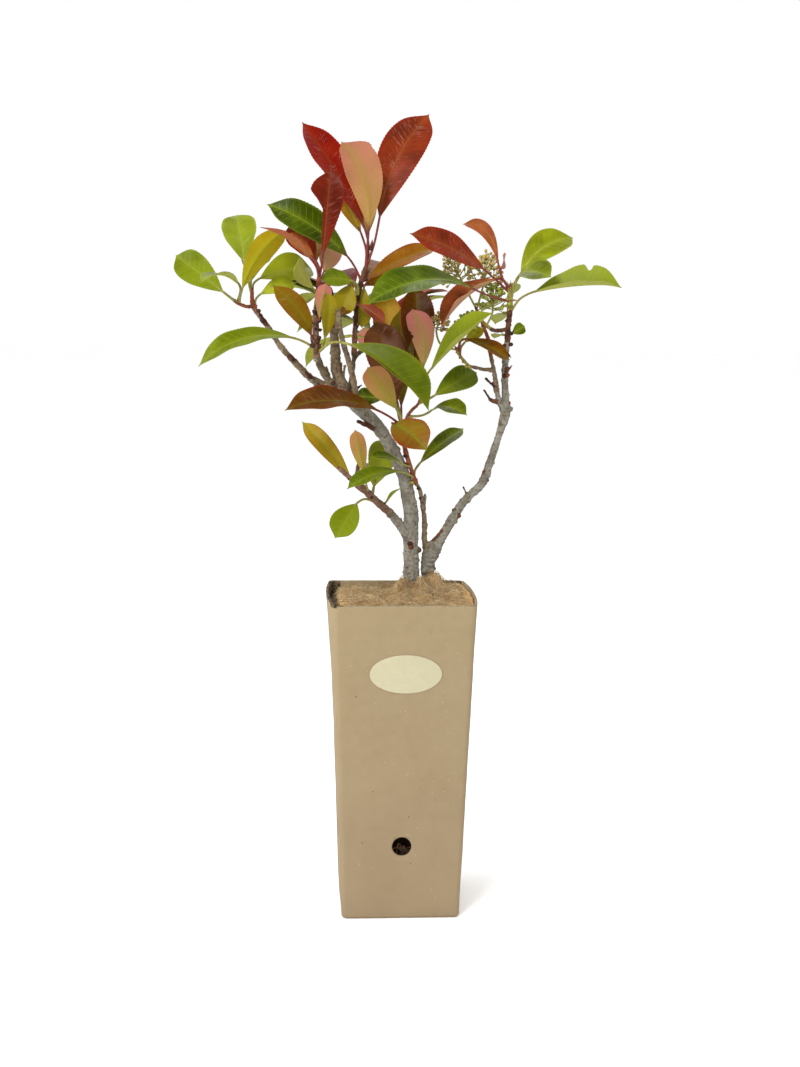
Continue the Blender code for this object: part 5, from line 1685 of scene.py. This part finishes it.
def blade(leaf, shape, rng, edges=None):
    """A blade's vertices, its faces, which of them are upper side, rib and underside, and its marks."""
    _, foot, chord, normal, across, bow = (np.array(part, float) for part in leaf)
    width, _, _, fold = shape
    length = float(np.linalg.norm(chord))
    t = blade_places(length)
    limp = np.clip((t - DROOP_START) / (1 - DROOP_START), 0, 1) ** 2
    droop = DROOP * length * limp * rng.uniform(-0.3, 1.0)
    middle = foot + chord * t[:, None] + bow * (4 * t * (1 - t))[:, None] - normal * droop[:, None]
    minus, plus, rib = blade_widths(t, width, edges)
    columns = np.array([-c for c in reversed(LEAF_COLUMNS)] + list(LEAF_COLUMNS))
    signs = np.array([-1.0] * len(LEAF_COLUMNS) + [1.0] * len(LEAF_COLUMNS))
    half = np.where(signs > 0, plus[:, None], minus[:, None])
    out = signs * rib[:, None] + columns * (half - rib[:, None])
    share = np.abs(out) / half
    relief = leaf_relief(t, out, share, half, length, signs, rng)
    lift = np.abs(out) * math.sin(math.radians(fold)) + relief
    reach = out * math.cos(math.radians(fold))
    upper = middle[:, None] + across * reach[..., None] + normal * lift[..., None]
    thick_rib = LEAF_THICKNESS + RIB_DEPTH * (1 - 0.85 * t)[:, None]
    lower = upper - normal * np.where(columns == 0, thick_rib, LEAF_THICKNESS)[..., None]
    vertices, faces, kinds = leaf_faces(upper, lower)
    tone = rng.random() + TONE_STEP * np.broadcast_to(signs, share.shape)
    run = np.broadcast_to(t[:, None], share.shape)
    marks = np.stack([np.abs(out), run * length, share, tone, run], axis=-1)
    return vertices, faces, kinds, np.tile(marks.reshape(-1, len(LEAF_MARKS)), (2, 1))


def leaf_relief(t, out, share, half, length, signs, rng):
    """How far each point of a blade stands off its folded plane: waves, quilting and a twist."""
    twist = np.radians(rng.uniform(-TWIST, TWIST)) * (t - 0.4)[:, None]
    wave = 0.0
    for _ in range(2):
        phases = np.where(signs > 0, rng.uniform(0, 6.28), rng.uniform(0, 6.28))
        turns = rng.uniform(*WAVE_TURNS)
        wave = wave + rng.uniform(*WAVE_SIZES) * np.sin(2 * np.pi * turns * t[:, None] + phases)
    wave = wave * half * share ** 2 * np.sin(np.pi * t)[:, None] ** 0.5
    veins = 2 * np.pi * (t[:, None] * length - VEIN_SLANT * np.abs(out)) / VEIN_SPACING
    quilt = VEIN_DEPTH * (0.6 - np.exp(1.6 * (np.cos(veins) - 1))) * share ** 0.5 * (1 - share ** 3)
    quilt = quilt * np.clip(half / 8, 0, 1)
    return wave + quilt + out * np.sin(twist)


def leaf_faces(upper, lower):
    """Closes the two sides of a blade into one body; kinds are 0 upper, 1 rib and 2 underside."""
    rows, columns = upper.shape[:2]
    size = rows * columns
    middle = columns // 2 - 1
    faces, kinds = [], []
    for row in range(rows - 1):
        for i in range(columns - 1):
            a, b = row * columns + i, (row + 1) * columns + i
            faces.append((a, b, b + 1, a + 1))
            kinds.append(1 if i == middle else 0)
            faces.append((size + a, size + a + 1, size + b + 1, size + b))
            kinds.append(2)
    loop = border_loop(rows, columns)
    faces += [(a, b, size + b, size + a) for a, b in zip(loop, loop[1:] + loop[:1])]
    kinds += [1] * len(loop)
    return np.vstack([upper.reshape(-1, 3), lower.reshape(-1, 3)]), faces, kinds


def stalk_tube(leaf, rng):
    """The leaf stalk, swollen at its root, which bends into the blade."""
    root, foot, chord, _, _, bow = leaf
    elbow = foot - (chord + bow * 4).normalized() * ((foot - root).length * 0.5)
    bend = root * 0.25 + elbow * 0.5 + foot * 0.25
    end = spine(foot, chord, bow, STALK_INTO_BLADE)
    radius = STALK_RADIUS * rng.uniform(0.85, 1.05)
    radii = (radius * 1.35, radius, radius * 0.95, radius * 0.5)
    return tube(*curve_through([root, bend, foot, end], radii, 2.0), 8)


def fan_rows(fan, last_place, seed):
    """Leaf rows by rule: turned by the golden angle within an arc, with seeded sizes."""
    count, turns, rises, lengths, widths = fan
    rng = random.Random(seed)
    rows = []
    for i in range(count):
        turn = turns[0] + (i * GOLDEN_ANGLE / 360 % 1) * (turns[1] - turns[0])
        place = last_place * (1 - 0.5 * i / count)
        stalk = (turn, rng.uniform(*rises) + 10, rng.uniform(9, 16))
        leaf = (turn, rng.uniform(*rises), rng.uniform(*lengths))
        kind = FAN_KINDS[i % len(FAN_KINDS)]
        rows.append((place, stalk, leaf, UP, (rng.uniform(*widths), 0.12, 0, 14), kind))
    return rows


def probe_points(twig, row):
    """Points spread over a leaf, to test it against its neighbours."""
    _, foot, chord, _, across, bow = leaf_on(twig, row)
    points = []
    for t in (0.15, 0.35, 0.55, 0.75, 0.95):
        middle = spine(foot, chord, bow, t)
        reach = across * (row[4][0] / 2 * outline(t))
        points += [middle, middle + reach, middle - reach]
    return points


def far_from_limbs(points, base):
    """Whether every point is clear of all the limbs but the one that carries the tuft."""
    for name, (line, radii) in LIMBS.items():
        if name == base:
            continue
        for i in range(len(line) - 1):
            start, end = Vector(line[i]), Vector(line[i + 1])
            run = end - start
            for point in points:
                share = min(max((point - start).dot(run) / run.length_squared, 0), 1)
                if (point - start - run * share).length < radii[i] + LIMB_CLEARANCE:
                    return False
    return True


# Tufts

def tuft_twigs(name):
    """The twigs of a tuft as (points, radii, leaf rows), the first grown from its limb's tip."""
    base, twigs = TUFTS[name]
    tip = limb_points(base)
    start = tip[-1] + (tip[-1] - tip[-2]).normalized() * GAP
    made = []
    for number, (points, radii, rows) in enumerate(twigs):
        line = [Vector(point) for point in points]
        made.append(([start, *line] if number == 0 else line, radii, rows))
    return made


def tuft_rows(name, taken):
    """Each twig's leaf rows, with those of a fan that would touch no limb and no other tuft's leaf."""
    found = []
    for line, _, rows in tuft_twigs(name):
        kept = list(rows)
        if name in FANS:
            for row in fan_rows(FANS[name], len(line) - 1, SEED + 10 * list(TUFTS).index(name)):
                points = probe_points(line, row)
                others = [p for other, spots in taken.items() if other != name for p in spots]
                crowded = any((p - q).length < LEAF_CLEARANCE for p in points for q in others)
                if not crowded and far_from_limbs(points, TUFTS[name][0]):
                    kept.append(row)
        found.append(kept)
        taken.setdefault(name, []).extend(p for row in kept for p in probe_points(line, row))
    return found


def twig_shape(line, radii, rng, into_limb):
    """A twig with its ring scars; the first of a tuft starts inside its limb's tip."""
    points, radii = list(line), list(radii)
    if into_limb:
        run = (points[1] - points[0]).normalized()
        points = [points[0] - run * 3, *points]
        radii = [radii[0] * 0.9, *radii]
    path, sizes = curve_through(points, radii, TWIG_STEP)
    sizes = ring_scars(path, sizes, rng, TWIG_SCAR_DEPTH)
    return path, sizes, tube(path, sizes, TWIG_SIDES)


def spike_bud(root, way, radius, length):
    """A pointed winter bud."""
    root, way = np.array(root, float), np.array(way, float)
    way = way / np.linalg.norm(way)
    line = root + way * (np.array(BUD_SHARES) * length)[:, None]
    return tube(line, radius * np.array(BUD_SWELLS), 8, round_end=False)


def add_twig(twigs, name, line, radii, rng, number):
    """A twig in the bark of its tuft, with its scars and the bud at its tip."""
    path, sizes, (vertices, faces) = twig_shape(line, radii, rng, number == 0)
    below, above, start = TWIG_BARKS.get(name, USUAL_TWIG_BARK)
    looks = [above if i > start * len(faces) else below for i in range(len(faces))]
    twigs.add(vertices, faces, looks)
    for bump in side_bumps(path, sizes, rng, TWIG_BUMP_SPACING):
        twigs.add(*bump, "dark_scar")
    twigs.add(*spike_bud(line[-1], line[-1] - line[-2], *TIP_BUD), "winter_bud")


def add_leaf(leaves, twigs, line, row, rng, edges):
    """A leaf with its stalk, and the bud between stalk and twig."""
    leaf = leaf_on(line, row)
    vertices, faces, kinds, marks = blade(leaf, row[4], rng, edges)
    looks = [f"{row[5]}_{side}" for side in ("top", "rib", "under")]
    leaves.add(vertices, faces, [looks[kind] for kind in kinds], marks)
    twigs.add(*stalk_tube(leaf, rng), LEAF_KINDS[row[5]][-1])
    root, way = leaf[0], (leaf[1] - leaf[0]).normalized()
    twigs.add(*spike_bud(root + way * 1.2, way + Vector((0, 0, 1.2)), *AXIL_BUD), "winter_bud")


def add_buds(twigs, name):
    """The knobs and scales that show on a tuft's twigs."""
    knobs, scales = TWIG_BUDS.get(name, ((), ()))
    for centre, radius, look in knobs:
        twigs.add(*ball(centre, (0, 0, 1), radius, radius * 0.85, 12, 7), look)
    for foot, tip, radius, look in scales:
        run = Vector(tip) - Vector(foot)
        twigs.add(*spike_bud(foot, run, radius, run.length), look)


def build_tuft(name, taken):
    """One mass of foliage: its leaves, its twigs with stalks and buds, and its flowers."""
    leaves, twigs, flowers = Batch(), Batch(), Batch()
    rng = random.Random(SEED + 100 * list(TUFTS).index(name))
    for number, ((line, radii, _), rows) in enumerate(zip(tuft_twigs(name), tuft_rows(name, taken))):
        add_twig(twigs, name, line, radii, rng, number)
        for place, row in enumerate(rows):
            add_leaf(leaves, twigs, line, row, rng, OWN_EDGES.get((name, number, place)))
    add_buds(twigs, name)
    if leaves.count:
        slot = "red_leaf" if name in RED_TUFTS else "green_leaf"
        dress(leaves.build(f"{name}_leaves", sharp=60), slot, name)
    branches = twigs.build(f"{name}_twigs")
    set_mark(branches.data, "bark_relief", np.full(twigs.count, 0.5))
    dress(branches, "bark", name)
    for head in HEADS.get(name, ()):
        flower_head(flowers, *head, rng)
    if flowers.count:
        dress(flowers.build(f"{name}_flowers"), "green_leaf", name)


def flower_head(batch, stalk, reach, buds, look, rng):
    """One head: its stalk, and side stalks by the golden angle that fork into clusters of buds."""
    line = [Vector(point) for point in stalk]
    thick, thin = HEAD_STALK_RADII
    batch.add(*tube(*curve_through(line, [thick] * (len(line) - 1) + [thin], 1.5), 7), "flower_stalk")
    top = line[-1] - line[-2]
    axis = top.normalized()
    across = axis.orthogonal().normalized()
    other = axis.cross(across)
    for i in range(buds):
        share = (i + 0.5) / buds
        aim = fan_out(axis, across, other, math.radians(85 - 75 * share), math.radians(GOLDEN_ANGLE * i))
        root = line[-2] + top * (0.25 + 0.7 * share)
        tip = root + aim * reach * (0.85 + 0.3 * (i % 3) / 2)
        fork = root.lerp(tip, FORK_AT)
        sag = fork + Vector((0, 0, -0.6))
        batch.add(*tube(*curve_through([root, sag, tip], SIDE_STALK_RADII, 1.5), 5), "flower_stalk")
        flower_bud(batch, tip, aim, BUD_RADIUS * rng.uniform(0.85, 1.15), look)
        fork_buds(batch, fork, aim, reach, look, rng)


def fork_buds(batch, fork, aim, reach, look, rng):
    """Shorter stalks from the fork of a side stalk, each with its bud."""
    across = aim.orthogonal().normalized()
    other = aim.cross(across)
    start = rng.uniform(0, 360)
    for k in range(FORK_BUDS):
        around = math.radians(start + GOLDEN_ANGLE * k)
        way = fan_out(aim, across, other, math.radians(rng.uniform(25, 60)), around)
        tip = fork + way * reach * rng.uniform(0.28, 0.5)
        batch.add(*tube(*curve_through([fork, tip], FORK_STALK_RADII, 2.0), 4), "flower_stalk")
        flower_bud(batch, tip, way, BUD_RADIUS * rng.uniform(0.75, 1.05), look)


def flower_bud(batch, tip, aim, radius, look):
    """A round bud in its green cup."""
    batch.add(*ball(tip + aim * radius * 0.7, aim, radius, radius * 1.1, 8, 6), look)
    batch.add(*ball(tip + aim * radius * 0.05, aim, radius * 0.8, radius * 0.7, 8, 4), "flower_cup")


# Stage

def build_floor():
    """A plain pale floor."""
    mesh = bpy.data.meshes.new("floor")
    h = FLOOR_HALF
    mesh.from_pydata([(-h, -h, 0), (h, -h, 0), (h, h, 0), (-h, h, 0)], [], [(0, 1, 2, 3)])
    s = Surface("floor_paint", 0.9, 0.1)
    s.finish(s.blend(s.noise(400.0, 2.0), *FLOOR_TONES))
    mesh.materials.append(MATERIALS["floor_paint"])
    floor = link_object(mesh)


def build_light():
    """A soft sky all round and soft lamps."""
    world = bpy.data.worlds.new("sky")
    world.use_nodes = True
    sky = world.node_tree.nodes["Background"]
    sky.inputs["Color"].default_value = (1.0, 1.0, 1.0, 1.0)
    sky.inputs["Strength"].default_value = SKY_STRENGTH
    bpy.context.scene.world = world
    bpy.context.scene.view_settings.view_transform = "Standard"
    for number, (place, width, watts) in enumerate(LAMPS):
        lamp = bpy.data.lights.new(f"lamp_{number}", "AREA")
        lamp.shape = "DISK"
        lamp.size = width
        lamp.energy = watts
        obj = link_object(lamp)
        obj.location = place
        aim = Vector(LAMP_TARGET) - Vector(place)
        obj.rotation_euler = aim.to_track_quat("-Z", "Y").to_euler()


def build_camera():
    """The photo's camera: a little to the left of straight on and above, rolled by less than a degree."""
    back = Vector(CAMERA_WAY).normalized()
    level = Vector((0, 0, 1)).cross(back).normalized()
    right = (level + back.cross(level) * CAMERA_ROLL).normalized()
    pose = Matrix((right, back.cross(right), back)).transposed().to_4x4()
    pose.translation = Vector(CAMERA_TARGET) + back * CAMERA_DISTANCE
    data = bpy.data.cameras.new("camera")
    data.lens = CAMERA_LENS
    camera = link_object(data)
    camera.matrix_world = pose
    bpy.context.scene.camera = camera


make_materials()
build_floor()
build_light()
build_camera()
build_pot()
build_label()
build_mat()
build_soil()
build_fibres()
build_vent_roots()
build_bark()
taken = {}
for tuft in TUFTS:
    build_tuft(tuft, taken)
